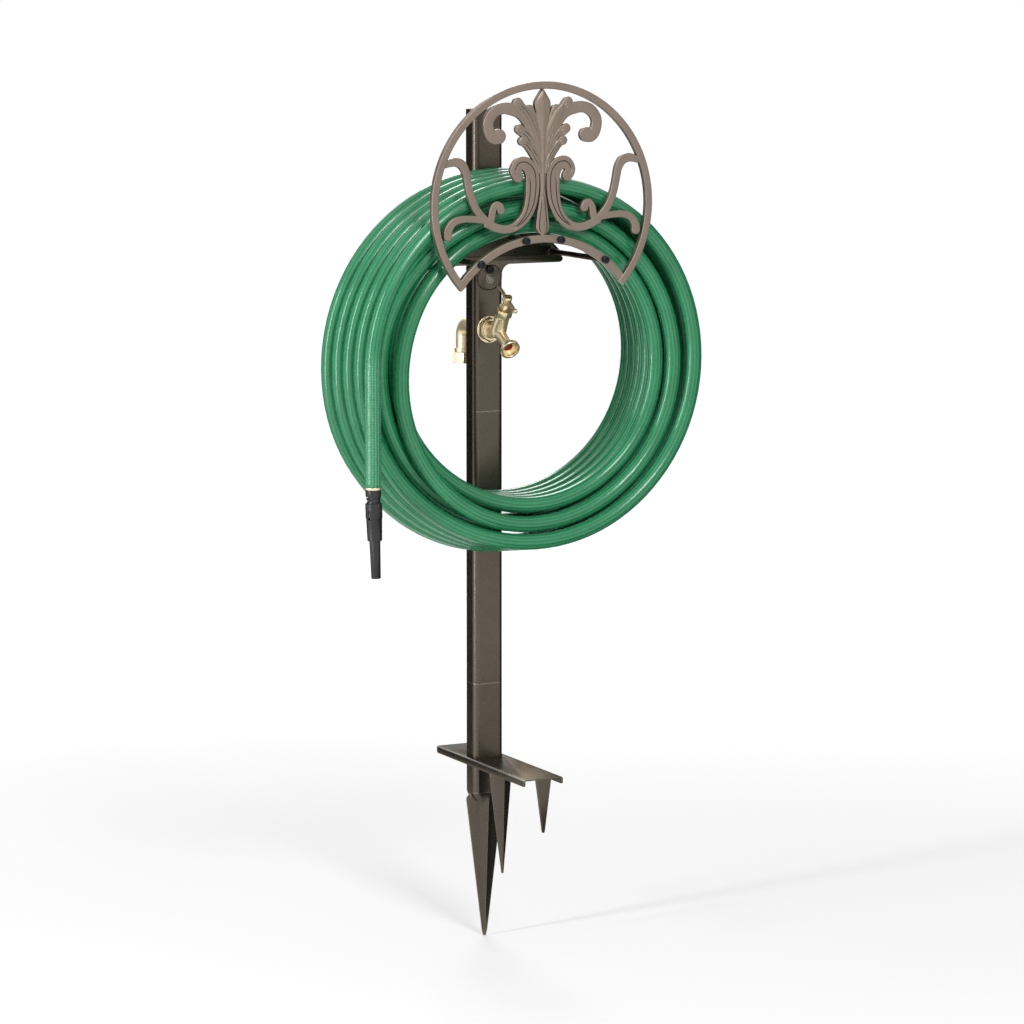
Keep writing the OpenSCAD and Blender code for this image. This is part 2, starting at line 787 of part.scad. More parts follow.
module tap_handle() {
    color(brass) tap_frame() translate([0, 0, hub_height]) difference() {
        union() {
            intersection() {
                sphere(d = hub_d * 1.06);
                translate([0, 0, -hub_d * 0.34]) cylinder(d = hub_d, h = hub_d * 0.66);
            }
            translate([0, 0, -7]) cylinder(d1 = stem_d + 2, d2 = hub_d * 0.82, h = 4);
            translate([0, handle_len / 2 - handle_bar_d / 2, 0]) rotate([90, 0, 0])
                cylinder(d = handle_bar_d, h = handle_len - handle_bar_d);
            translate([0, handle_len / 2 - handle_bar_d / 2, 0]) sphere(d = handle_bar_d);
            translate([0, handle_bar_d * 0.67 - handle_len / 2, 0])
                sphere(d = handle_bar_d * 1.34);
        }
        translate([0, 0, -hub_d]) cylinder(d = stem_d + 2 * run_fit, h = hub_d + 2);
        cylinder(d = hub_d * 0.7, h = hub_d);
    }
}

module handle_screw() {
    color(brass) tap_frame() translate([0, 0, hub_height + 2]) difference() {
        cylinder(d = hub_d * 0.62, h = 2);
        translate([0, 0, 1.4]) cube([hub_d, 1.2, 1.3], center = true);
    }
}

module outlet_washer() {
    color(red) tap_frame() rotate([90, 0, 0])
        translate([0, 0, outlet_len - mouth_depth - seal_seat]) difference() {
            cylinder(d = mouth_seal_d, h = seal_seat - 0.4);
            translate([0, 0, -1]) cylinder(d = mouth_seal_d * 0.4, h = seal_seat + 2);
        }
}

// Water inlet

elbow_ring_h = 6;
tail_low = tap_z - elbow_bend - elbow_leg;
nut_top = tail_low - elbow_ring_h;
nut_low = nut_top - inlet_nut_h;

module inlet_elbow() {
    tail_r = 10.3;
    flange_r = inlet_thread_r - 0.5;
    color(brass) difference() {
        union() {
            facing_front(elbow_y - elbow_bend, tap_z)
                cylinder(d = elbow_d, h = elbow_y - elbow_bend - post_rear - 1.5 - pipe_nut_t);
            translate([0, elbow_y - elbow_bend, tap_z - elbow_bend]) rotate([0, -90, 0])
                rotate_extrude(angle = 90) translate([elbow_bend, 0]) circle(d = elbow_d);
            translate([0, elbow_y, tail_low]) cylinder(d = elbow_d, h = elbow_leg);
            translate([0, elbow_y, nut_top]) cylinder(d = elbow_d + 4, h = elbow_ring_h);
            translate([0, elbow_y, nut_top - 4]) cylinder(r = tail_r, h = 5);
            translate([0, elbow_y, nut_top - 4.5]) cylinder(r = flange_r, h = 2);
        }
        facing_front(elbow_y - elbow_bend + 0.01, tap_z)
            cylinder(r = pipe_d / 2 + run_fit, h = elbow_y);
        translate([0, elbow_y - elbow_bend, tap_z - elbow_bend]) rotate([0, -90, 0])
            rotate_extrude(angle = 90) translate([elbow_bend, 0]) circle(d = pipe_bore);
        translate([0, elbow_y, nut_top - elbow_ring_h])
            cylinder(d = pipe_bore, h = 2 * elbow_ring_h + elbow_leg + 1);
    }
}

module inlet_nut() {
    color(brass) translate([0, elbow_y, nut_low]) difference() {
        cylinder(d = inlet_nut_af / cos(30), h = inlet_nut_h - 0.1, $fn = 6);
        translate([0, 0, -1]) cylinder(r = inlet_thread_r, h = inlet_nut_h + 1 - 2.3);
        translate([0, 0, inlet_nut_h - 6.5])
            cylinder(r = inlet_thread_r + thread_relief, h = 6.5 - 2.3);
        cylinder(r = 10.3 + run_fit, h = inlet_nut_h + 1);
    }
}

module inlet_washer() {
    color(red) translate([0, elbow_y, nut_top - 6.5]) difference() {
        cylinder(r = inlet_thread_r - 0.6, h = 2);
        translate([0, 0, -1]) cylinder(d = pipe_bore, h = 5);
    }
}

// Hose. The coil is wound in three layers of five loops: the inner layer runs to the
// front, the middle layer back again and the outer layer forward to the tail. A turn is
// counted from the left point of the coil, and a place in a layer by its depth from the
// front loop. Each layer gives the front loop's radius, its centre's height and its
// distance in front of the post, each with what it changes by in one loop back.

layer_inner = [[190.4, 1.9], [563, 1.65], [-144.5, 23]];
layer_middle = [[213.8, 3], [561.5, 0.9], [-152.5, 25]];
layer_outer = [[242, 2.9], [566.5, -1.6], [-160.5, 29]];
first_turn = -0.5;
last_turn = 15;
rings_per_turn = 24;
tube_sides = 6;
inner_end_reach = 50;
inner_end_back = 23.5;

function steps(s, from, to, early, span) =
    let (parts = [for (n = [from:to]) ease((s - n + early) / span)])
    parts * [for (n = [from:to]) 1];
function in_layer(layer, k) = [for (v = layer) v[0] + v[1] * k];
function coil_place(s) =
    let (inner = in_layer(layer_inner, 5 - steps(s, 0, 4, -0.04, 0.26)),
         middle = in_layer(layer_middle, steps(s, 6, 9, 0.25, 0.25)),
         outer = in_layer(layer_outer, 4 - steps(s, 11, 14, -0.04, 0.26)),
         lower = mix(inner, middle, ease((s - 4.93) / 0.3)))
    mix(lower, outer, ease((s - 9.8) / 0.45));
// The climb to the outer layer passes behind both layers
function climb_back(s) = s <= 9.75 || s >= 10.31 ? 0 : 27 * pow(sin(180 * (s - 9.75) / 0.56), 2);
function coil_point(s) =
    let (p = coil_place(s),
         r = p[0] + inner_end_reach * (1 - ease((s - first_turn) / 0.16)),
         y = p[2] + climb_back(s) + inner_end_back * (1 - ease((s + 0.44) / 0.15)),
         a = 180 + 360 * s)
    [r * cos(a), y, p[1] + r * sin(a)];

coil_turns = [for (i = [0:(last_turn - first_turn) * rings_per_turn])
    first_turn + i / rings_per_turn];
coil_start = coil_point(first_turn);
coil_end = coil_point(last_turn);
coil_route = concat(
    [coil_start - [0, 0, hose_d]],
    [for (s = coil_turns) coil_point(s)],
    [coil_end - [0, 0, hose_d]]
);

function total(v) = v * [for (i = v) 1];
function coil_length() =
    total([for (i = [1:len(coil_route) - 1]) norm(coil_route[i] - coil_route[i - 1])]);
// Least distance between two points of the coil that are over a third of a turn apart
function coil_gap() =
    let (apart = ceil(rings_per_turn / 3), last = len(coil_route) - 1)
    min([for (i = [0:last - apart], j = [i + apart:last])
        norm(coil_route[i] - coil_route[j])]) - hose_d;

function unit(v) = v / norm(v);
function ring_about(c, ahead, r, sides) =
    let (side = unit(cross(ahead, [0, -1, 0.001])), up = cross(side, ahead))
    [for (k = [0:sides - 1])
        let (a = 360 * (k + 0.5) / sides) c + r * (cos(a) * side + sin(a) * up)];

module tube_along(route, d, sides) {
    last = len(route) - 1;
    points = [for (i = [0:last])
        let (ahead = unit(route[min(i + 1, last)] - route[max(i - 1, 0)]))
        each ring_about(route[i], i == 0 || i == last ? [0, 0, sign(ahead[2])] : ahead,
            d / 2, sides)];
    walls = [for (i = [0:last - 1], k = [0:sides - 1])
        let (a = i * sides + k, b = i * sides + (k + 1) % sides)
        each [[a, b, b + sides], [a, b + sides, a + sides]]];
    start = [for (k = [1:sides - 2]) [0, k + 1, k]];
    finish = [for (k = [1:sides - 2]) [last * sides, last * sides + k, last * sides + k + 1]];
    polyhedron(points, concat(walls, start, finish));
}

module hose_coil() {
    color(green) tube_along(coil_route, hose_d, tube_sides);
}

module hose_tail() {
    top = coil_end[2] - hose_d;
    color(green) translate([coil_end[0], coil_end[1], tail_end_z]) difference() {
        cylinder(d = hose_d, h = top - tail_end_z);
        translate([0, 0, -1]) cylinder(d = hose_d * 0.7, h = 12);
    }
}

module inner_end_hose() {
    top = coil_start[2] - hose_d;
    color(green) translate([coil_start[0], coil_start[1], inner_end_z])
        cylinder(d = hose_d, h = top - inner_end_z);
}

// Nozzle on the tail, and the couplings at both ends

module at_tail(z) {
    translate([coil_end[0], coil_end[1], z]) children();
}

// The nozzle leans to the right a little, seen from 26 degrees left of the front
module at_nozzle(z) {
    hang = collar_top - 0.4;
    at_tail(hang) rotate([0, 0, -26]) rotate([0, -nozzle_lean, 0])
        translate([0, 0, z - hang - 0.4]) children();
}

module tail_ferrule() {
    color(brass) at_tail(tail_end_z - 3) {
        cylinder(d = hose_d + 0.4, h = 3);
        translate([0, 0, 3]) cylinder(d = hose_d * 0.7 - 2 * fit, h = 8);
    }
}

collar_len = 18;
collar_spigot = 12;
collar_top = tail_end_z - 3;
body_top = collar_top - collar_len;
body_low = collar_top - nozzle_body_len;
barrel_top = body_top - 6;

module nozzle_collar() {
    neck = nozzle_d * 0.8;
    color(black) at_nozzle(body_top) difference() {
        union() {
            translate([0, 0, 10]) cylinder(d1 = neck, d2 = nozzle_d * 0.9, h = 8);
            translate([0, 0, -collar_spigot]) cylinder(d = neck * 0.72, h = collar_spigot + 1);
            cylinder(d = neck, h = 10);
            translate([0, 0, 2.5]) rotate([8, 0, 0]) cylinder(d = nozzle_d * 0.92, h = 2.2);
            translate([0, 0, 6.5]) rotate([8, 0, 0]) cylinder(d = nozzle_d * 0.92, h = 2.2);
        }
        translate([0, 0, -collar_spigot - 1])
            cylinder(d = hose_d * 0.4, h = collar_spigot + collar_len + 2);
    }
}

module nozzle_body() {
    grip_low = body_top - body_low - grip_len;
    color(black) at_nozzle(body_low) difference() {
        union() {
            cylinder(d1 = nozzle_d * 0.85, d2 = nozzle_d * 0.95, h = grip_low);
            translate([0, 0, grip_low]) cylinder(d = nozzle_d, h = grip_len);
        }
        translate([0, 0, 10]) cylinder(d = barrel_d + 1 + 2 * run_fit, h = nozzle_body_len);
        translate([0, 0, -1]) cylinder(d = barrel_d + 2 * run_fit, h = nozzle_body_len);
        translate([-nozzle_d * 0.42, 0, body_top - body_low - 12]) rotate([90, 0, 0])
            cylinder(d = 3.2, h = nozzle_d, center = true);
    }
}

module nozzle_barrel() {
    stop = 6;
    color(black) at_nozzle(body_low - barrel_len) difference() {
        union() {
            cylinder(d1 = barrel_tip_d, d2 = barrel_d, h = barrel_len);
            translate([0, 0, barrel_len]) cylinder(d = barrel_d, h = barrel_hold);
            translate([0, 0, barrel_len + 11]) cylinder(d = barrel_d + 1, h = stop);
        }
        translate([0, 0, -1]) cylinder(d = barrel_tip_d * 0.6, h = barrel_len + barrel_hold + 2);
    }
}

module at_inner_end(z) {
    translate([coil_start[0], coil_start[1], z]) children();
}

module inner_end_ferrule() {
    color(brass) at_inner_end(inner_end_z - 14) difference() {
        union() {
            translate([0, 0, 0]) cylinder(d = hose_d * 0.7, h = 14);
            translate([0, 0, 4]) cylinder(d = hose_d + 1.6, h = 10);
            translate([0, 0, -3]) cylinder(r = inlet_thread_r - 0.8, h = 3);
        }
        translate([0, 0, -4]) cylinder(d = hose_d * 0.5, h = 20);
    }
}

module inner_end_nut() {
    nut_h = 20;
    color(brass) at_inner_end(inner_end_z - 14 + 3.2 - nut_h) difference() {
        cylinder(d = end_nut_d, h = nut_h);
        translate([0, 0, -1]) cylinder(r = inlet_thread_r, h = nut_h + 1 - 3);
        translate([0, 0, nut_h - 7]) cylinder(r = inlet_thread_r + thread_relief, h = 4);
        cylinder(d = hose_d * 0.7 + 2 * run_fit, h = nut_h + 1);
    }
}

post_lower();
post_middle();
post_upper();
lower_sleeve();
upper_sleeve();
post_cap();
step_plate();
folded_prong();
ground_spike();
face_casting();
face_screws();
hanger_plate();
inner_rods();
outer_rods();
bracket_bolt();
bracket_nut();
bracket_rivet();
tap_pipe();
front_washer();
front_nut();
rear_washer();
rear_nut();
tap_body();
tap_bonnet();
packing_nut();
valve_stem();
valve_washer();
tap_handle();
handle_screw();
outlet_washer();
inlet_elbow();
inlet_nut();
inlet_washer();
hose_coil();
hose_tail();
tail_ferrule();
nozzle_collar();
nozzle_body();
nozzle_barrel();
inner_end_hose();
inner_end_ferrule();
inner_end_nut();
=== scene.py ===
# %% [markdown]
# A garden hose stand: a bronze post on spikes, a cast ring with scrollwork, a brass tap and
# a green hose hung in three layers of loops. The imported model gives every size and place,
# so this script only dresses it. All lengths below are in metres, and MM turns the
# millimetres that a maker thinks in into metres.

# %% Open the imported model
import json
import math

import bmesh
import bpy
from mathutils import Matrix, Vector


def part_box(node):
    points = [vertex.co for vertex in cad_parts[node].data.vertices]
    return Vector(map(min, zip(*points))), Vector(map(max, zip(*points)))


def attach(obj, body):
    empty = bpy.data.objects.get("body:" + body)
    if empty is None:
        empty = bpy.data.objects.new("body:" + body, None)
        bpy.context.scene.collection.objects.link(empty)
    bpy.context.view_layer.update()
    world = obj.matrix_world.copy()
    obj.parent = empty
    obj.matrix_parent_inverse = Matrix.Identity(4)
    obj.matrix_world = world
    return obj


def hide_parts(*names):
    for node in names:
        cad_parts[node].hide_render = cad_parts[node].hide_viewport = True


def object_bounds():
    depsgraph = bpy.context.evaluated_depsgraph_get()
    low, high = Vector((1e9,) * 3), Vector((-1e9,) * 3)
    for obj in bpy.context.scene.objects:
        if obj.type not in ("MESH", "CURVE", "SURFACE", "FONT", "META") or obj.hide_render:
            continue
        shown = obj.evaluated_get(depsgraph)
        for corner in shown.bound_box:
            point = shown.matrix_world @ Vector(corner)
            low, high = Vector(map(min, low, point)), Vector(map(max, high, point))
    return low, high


MM = 0.001
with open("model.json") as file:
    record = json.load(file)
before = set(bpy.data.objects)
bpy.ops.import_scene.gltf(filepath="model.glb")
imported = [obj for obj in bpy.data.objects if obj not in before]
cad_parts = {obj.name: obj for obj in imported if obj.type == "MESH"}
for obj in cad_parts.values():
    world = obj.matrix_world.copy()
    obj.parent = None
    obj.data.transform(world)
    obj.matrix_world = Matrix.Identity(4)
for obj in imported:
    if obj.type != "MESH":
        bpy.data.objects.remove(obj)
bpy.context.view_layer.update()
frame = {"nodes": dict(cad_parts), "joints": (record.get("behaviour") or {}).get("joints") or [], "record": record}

# %% [markdown]
# The camera stands where the photographer's did: far off with a long lens, to the left of
# the front, and about a metre above the ground line, looking a little down.

# %% Camera
CAMERA_PLACE = (-2.6543, -5.4514, 1.1861)
CAMERA_TURN, CAMERA_DOWN = 26.328, 7.897
LENS = 155.08

bpy.ops.object.camera_add(
    location=CAMERA_PLACE,
    rotation=(math.radians(90 - CAMERA_DOWN), 0, -math.radians(CAMERA_TURN)),
)
camera = bpy.context.object
camera.data.lens = LENS
camera.data.clip_end = 60
bpy.context.scene.camera = camera
bpy.context.scene.view_settings.view_transform = "Standard"


# %% [markdown]
# Every finish is a small node tree. This class adds its nodes and joins their sockets, so
# that each material below reads as a list of what is mixed with what. Colours are mixed by
# noise on Object coordinates. The Bevel node finds edges, where highlights are painted, and
# the Ambient Occlusion node finds grooves and corners, where shade is painted.

# %% Helpers for materials
class Finish:
    """A material whose nodes are added one by one."""

    def __init__(self, name):
        print("finish", name)
        self.material = bpy.data.materials.new(name)
        self.material.use_nodes = True
        self.nodes = self.material.node_tree.nodes
        self.links = self.material.node_tree.links
        self.shader = self.nodes["Principled BSDF"]

    def add(self, kind, inputs=None, **settings):
        node = self.nodes.new("ShaderNode" + kind)
        for key, value in settings.items():
            setattr(node, key, value)
        for key, value in (inputs or {}).items():
            self.put(node.inputs[key], value)
        return node

    def put(self, socket, value):
        if isinstance(value, bpy.types.NodeSocket):
            self.links.new(value, socket)
        elif isinstance(value, bpy.types.Node):
            self.links.new(value.outputs[0], socket)
        elif socket.type == "RGBA":
            socket.default_value = (*value, 1)
        else:
            socket.default_value = value

    def set(self, **values):
        """Sets inputs of the shader, with _ for each space in their names."""
        for key, value in values.items():
            self.put(self.shader.inputs[key.replace("_", " ")], value)

    def place(self):
        return self.add("TexCoord").outputs["Object"]

    def calc(self, operation, *values):
        return self.add("Math", dict(enumerate(values)), operation=operation).outputs[0]

    def noise(self, scale, detail=3, roughness=0.6):
        inputs = {"Scale": scale, "Detail": detail, "Roughness": roughness}
        inputs["Vector"] = self.place()
        return self.add("TexNoise", inputs).outputs["Fac"]

    def ramp(self, factor, *stops):
        """Turns factor into a grey that is given at each stop, as (place, grey)."""
        node = self.add("ValToRGB", {"Fac": factor})
        elements = node.color_ramp.elements
        while len(elements) < len(stops):
            elements.new(0.5)
        for element, (position, grey) in zip(elements, stops):
            element.position = position
            element.color = (grey, grey, grey, 1)
        return node.outputs["Color"]

    def uneven(self, scale, low, high):
        """A value that drifts between low and high over the surface."""
        return self.ramp(self.noise(scale), (0.3, low), (0.7, high))

    def blend(self, factor, a, b):
        """Colour a where factor is 0, and b where it is 1."""
        node = self.add("Mix", {0: factor, 6: a, 7: b}, data_type="RGBA")
        return node.outputs[2]

    def bump(self, height, strength, distance, below=None):
        node = self.add("Bump", {"Height": height, "Strength": strength, "Distance": distance})
        if below is not None:
            self.put(node.inputs["Normal"], below)
        return node.outputs["Normal"]

    def edge_highlight_mask(self, width):
        """1 where a surface bends sharply within width of the point, 0 on flat faces. Highlights are painted where
        it is 1.
        """
        bevel = self.add("Bevel", {"Radius": width}, samples=6)
        normal = self.add("NewGeometry").outputs["Normal"]
        turn = self.add("VectorMath", {0: bevel, 1: normal}, operation="DOT_PRODUCT")
        return self.ramp(turn.outputs["Value"], (0.65, 1), (0.97, 0))

    def hollow_shade_mask(self, reach, open_above):
        """1 deep in grooves and corners no wider than reach, 0 on open faces, from ambient occlusion. Shade is
        painted where it is 1.
        """
        shelter = self.add("AmbientOcclusion", {"Distance": reach}, samples=6)
        return self.ramp(shelter.outputs["AO"], (open_above * 0.45, 1), (open_above, 0))


# %% [markdown]
# The post, its step plate, spikes and hanger have a bronze powder coat with metal flake in
# it. The flake makes a metallic base with a fine grain, and noise in the roughness and a
# very low bump break up the long reflections on the tubes. A bright line is painted as a
# highlight where one tube of the post meets the next, and a highlight is painted on sharp
# edges, wider on the spike, the prong and the step plate. A rounded bend has no sharp
# edge, so on the step plate a highlight is painted by the direction that the surface faces:
# half up and half sideways.

# %% Bronze powder coat
BRONZE_DARK, BRONZE_LIGHT = (0.08, 0.066, 0.05), (0.115, 0.096, 0.075)
BRONZE_FLAKE = (0.3, 0.26, 0.21)
BRONZE_EDGE_HIGHLIGHT, BRONZE_SEAM_HIGHLIGHT, BRONZE_BEND_HIGHLIGHT = (0.6, 0.57, 0.52), (0.42, 0.4, 0.37), (0.72, 0.69, 0.64)
BRONZE_TINT = (0.4, 0.39, 0.37)
HIGHLIGHT_SHARE = 0.75
SEAM_HALF = 0.35 * MM


def bronze_coat(name, edge, bends=False):
    """The coat, with a highlight painted within edge of sharp edges and, if asked, along its folded bends."""
    finish = Finish(name)
    colour = finish.blend(finish.noise(14, 4, 0.55), BRONZE_DARK, BRONZE_LIGHT)
    flake = finish.ramp(finish.noise(2600, 2), (0.45, 0), (0.7, 0.18))
    colour = finish.blend(flake, colour, BRONZE_FLAKE)
    # Painted highlight: a paler colour on sharp edges, standing in for the light they catch.
    edges = finish.blend(finish.edge_highlight_mask(edge), (0, 0, 0), (HIGHLIGHT_SHARE, HIGHLIGHT_SHARE, HIGHLIGHT_SHARE))
    colour = finish.blend(edges, colour, BRONZE_EDGE_HIGHLIGHT)
    # Painted highlight on the folded bends, placed by the direction that the surface faces.
    if bends:
        facing = finish.add("SeparateXYZ", {0: finish.add("NewGeometry").outputs["Normal"]})
        sideways = finish.calc("ABSOLUTE", facing.outputs["X"])
        both = finish.calc("MULTIPLY", facing.outputs["Z"], sideways)
        colour = finish.blend(finish.ramp(both, (0.12, 0), (0.4, 0.9)), colour, BRONZE_BEND_HIGHLIGHT)
    height = finish.add("SeparateXYZ", {0: finish.place()}).outputs["Z"]
    # Painted highlight: a bright line where each tube of the post meets the next.
    for tube in ("post_middle", "post_upper"):
        seam = finish.calc("COMPARE", height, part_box(tube)[0][2], SEAM_HALF)
        colour = finish.blend(seam, colour, BRONZE_SEAM_HIGHLIGHT)
    roughness = finish.ramp(finish.noise(60, 4), (0.3, 0.24), (0.75, 0.34))
    grain = finish.bump(finish.noise(900), 0.12, 0.2 * MM)
    finish.set(Base_Color=colour, Metallic=0.85, Roughness=roughness, Normal=grain,
               Specular_Tint=BRONZE_TINT)
    return finish.material


bronze = bronze_coat("bronze_coat", 0.7 * MM)
# Wider painted edge highlights for the spike and prong; the step plate's coat also has a painted highlight on its
# bends.
bronze_wide_edge_highlight = bronze_coat("bronze_wide_edge_highlight", 1.7 * MM)
bronze_bend_highlight = bronze_coat("bronze_bend_highlight", 1.7 * MM, bends=True)

# %% [markdown]
# The casting is painted a paler taupe. Cast faces are never quite flat, so a low, slow bump
# lies under a fine orange-peel bump. A highlight is painted along its edges, and shade is
# painted into its engraved lines and corners.

# %% Taupe paint on cast metal
TAUPE_DARK, TAUPE_LIGHT = (0.2, 0.158, 0.124), (0.285, 0.226, 0.18)
TAUPE_EDGE_HIGHLIGHT, TAUPE_GROOVE_SHADE = (0.52, 0.45, 0.38), (0.06, 0.048, 0.038)


def taupe_paint():
    finish = Finish("taupe_paint")
    colour = finish.blend(finish.noise(22, 4), TAUPE_DARK, TAUPE_LIGHT)
    # Painted highlight: a lighter colour along the casting's edges.
    edges = finish.blend(0.7, (0, 0, 0), finish.edge_highlight_mask(1.2 * MM))
    colour = finish.blend(edges, colour, TAUPE_EDGE_HIGHLIGHT)
    # Painted shade: near black in the engraved lines and corners, found by ambient occlusion.
    colour = finish.blend(finish.hollow_shade_mask(2.2 * MM, 0.93), colour, TAUPE_GROOVE_SHADE)
    slow = finish.bump(finish.noise(70, 3, 0.5), 0.25, 0.6 * MM)
    fine = finish.bump(finish.noise(1100, 3, 0.65), 0.2, 0.2 * MM, slow)
    finish.set(Base_Color=colour, Metallic=0.7, Roughness=finish.uneven(180, 0.3, 0.42),
               Normal=fine)
    return finish.material


taupe = taupe_paint()

# %% [markdown]
# The tap is yellow brass: sand-cast where it is round, and turned or milled where it is
# cut. The cast skin is rougher than the cut faces, and red-brown shade is painted into its
# corners, so there are two finishes.

# %% Cast and machined brass
BRASS, BRASS_PALE = (0.86, 0.67, 0.40), (0.95, 0.81, 0.57)
BRASS_CORNER_SHADE = (0.16, 0.045, 0.018)


def cast_brass():
    finish = Finish("cast_brass")
    colour = finish.blend(finish.noise(90, 4), BRASS, BRASS_PALE)
    # Painted shade: red-brown in corners and hollows, found by ambient occlusion.
    colour = finish.blend(finish.hollow_shade_mask(1.6 * MM, 0.66), colour, BRASS_CORNER_SHADE)
    skin = finish.bump(finish.noise(700), 0.16, 0.2 * MM)
    finish.set(Base_Color=colour, Metallic=0.8, Roughness=finish.uneven(300, 0.32, 0.42),
               Normal=skin)
    return finish.material


def machined_brass():
    finish = Finish("machined_brass")
    colour = finish.blend(finish.noise(60, 3, 0.5), BRASS, BRASS_PALE)
    marks = finish.bump(finish.noise(1500, 2, 0.5), 0.1, 0.1 * MM)
    finish.set(Base_Color=colour, Metallic=0.85, Roughness=finish.uneven(500, 0.25, 0.34),
               Normal=marks)
    return finish.material


brass_cast = cast_brass()
brass_cut = machined_brass()

# %% [markdown]
# The small parts have plain finishes that differ only in their numbers: blacked steel
# screws, the satin black plastic of the nozzle, a darker brass on the handle's screw as
# painted shade for its place in the hub's hollow, the bare steel of the rivet, a dark brown
# as painted shade round a nut and the dark red rubber of washers.
# One function makes them all, so each still has its own uneven colour, gloss and grain.

# %% Screws, nozzle plastic and washers
def plain_finish(name, dark, light, metallic, rough, grain_scale, grain):
    finish = Finish(name)
    colour = finish.blend(finish.noise(120, 4), dark, light)
    normal = finish.bump(finish.noise(grain_scale), grain, 0.3 * MM)
    finish.set(Base_Color=colour, Metallic=metallic, Roughness=finish.uneven(260, *rough),
               Normal=normal)
    return finish.material


black_steel = plain_finish(
    "black_steel", (0.006, 0.006, 0.008), (0.02, 0.02, 0.024), 0.6, (0.3, 0.45), 900, 0.2
)
black_plastic = plain_finish(
    "black_plastic", (0.006, 0.006, 0.0065), (0.014, 0.014, 0.015), 0.0, (0.26, 0.36), 1400, 0.2
)
# Painted shade: a darker brass for the screw that sits in the handle's hub.
screw_brass_shaded = plain_finish(
    "screw_brass_shaded", (0.28, 0.2, 0.11), (0.42, 0.32, 0.19), 0.8, (0.42, 0.55), 700, 0.2
)
bare_rivet = plain_finish(
    "bare_rivet", (0.15, 0.135, 0.115), (0.26, 0.24, 0.205), 0.9, (0.2, 0.3), 900, 0.1
)
# Painted shade: dark brown for the shadow line between the tap's nut and its washer.
shade_ring_brown = plain_finish(
    "shade_ring_brown", (0.07, 0.014, 0.008), (0.12, 0.024, 0.014), 0.0, (0.6, 0.75), 900, 0.3
)
red_rubber = plain_finish(
    "red_rubber", (0.22, 0.006, 0.004), (0.33, 0.012, 0.008), 0.0, (0.5, 0.65), 800, 0.3
)

# %% [markdown]
# The hose is green vinyl, glossy and slightly clear, with a braid under its skin that shows
# as pale dots near the nozzle. The piece has a UV map whose U goes once round the hose and
# whose V is the distance in metres from the nozzle end, so the ribs of the skin and the
# dots follow the hose. Both are sine waves of those two coordinates, which is simpler than
# a texture and has no seam. The ribs also carry painted shade in their grooves and a painted
# highlight as pale streaks on their crests.

# %% Green vinyl
BRAID_UNTIL = 0.19
BRAID_PITCH = 2.1 * MM
BRAID_STRANDS = 18
SKIN_RIBS = 14
GREEN_GROOVE_SHADE, GREEN_DEEP = (0.004, 0.06, 0.024), (0.012, 0.19, 0.075)
GREEN, GREEN_BRAID_AND_HIGHLIGHT = (0.03, 0.33, 0.135), (0.21, 0.5, 0.32)


def green_vinyl():
    finish = Finish("green_vinyl")
    uv = finish.add("UVMap", uv_map="along_hose").outputs["UV"]
    parts = finish.add("SeparateXYZ", {"Vector": uv})
    around, along = parts.outputs["X"], parts.outputs["Y"]

    def wave(value, count):
        crest = finish.calc("SINE", finish.calc("MULTIPLY", value, count * math.tau))
        return finish.calc("MULTIPLY_ADD", crest, 0.5, 0.5)

    ribs = wave(around, SKIN_RIBS)
    near = finish.ramp(along, (BRAID_UNTIL - 0.03, 1), (BRAID_UNTIL, 0))
    dots = finish.calc("MULTIPLY", wave(along, 1 / BRAID_PITCH), wave(around, BRAID_STRANDS))
    for mask in (finish.ramp(finish.noise(420), (0.3, 0.2), (0.65, 1)), near):
        dots = finish.calc("MULTIPLY", dots, mask)
    colour = finish.blend(finish.noise(30, 4), GREEN_DEEP, GREEN)
    # Painted shade in the rib grooves and painted highlight streaks on the rib crests; the pale dots are the
    # braid.
    for share, paint in (
        (finish.ramp(ribs, (0.05, 0.4), (0.4, 0)), GREEN_GROOVE_SHADE),
        (finish.ramp(ribs, (0.7, 0), (1, 0.12)), GREEN_BRAID_AND_HIGHLIGHT),
        (finish.ramp(dots, (0.12, 0), (0.5, 0.9)), GREEN_BRAID_AND_HIGHLIGHT),
    ):
        colour = finish.blend(share, colour, paint)
    skin = finish.bump(dots, 0.3, 0.3 * MM, finish.bump(ribs, 0.25, 0.3 * MM))
    finish.set(
        Base_Color=colour, Roughness=finish.uneven(80, 0.2, 0.32), Normal=skin,
        Specular_IOR_Level=0.3, Coat_Weight=0.4, Coat_Roughness=0.1,
        Subsurface_Weight=0.08, Subsurface_Radius=(2 * MM, 6 * MM, 3 * MM),
    )
    return finish.material


vinyl = green_vinyl()

# %% [markdown]
# The hose comes before everything else, because its route decides how far the model
# spreads. It is wound like thread on a bobbin: an inner layer of five loops from the post
# to the ring, a middle layer back again, and an outer layer forward to the tail. Each
# layer lies over the last, and where a loop steps to the next place it does so quickly,
# near the left side. The same formula winds the CAD model's coil. A layer is given as the
# radius, height and depth of its loop 0, in millimetres, each with its change per loop.
# Places along the route are counted in turns.

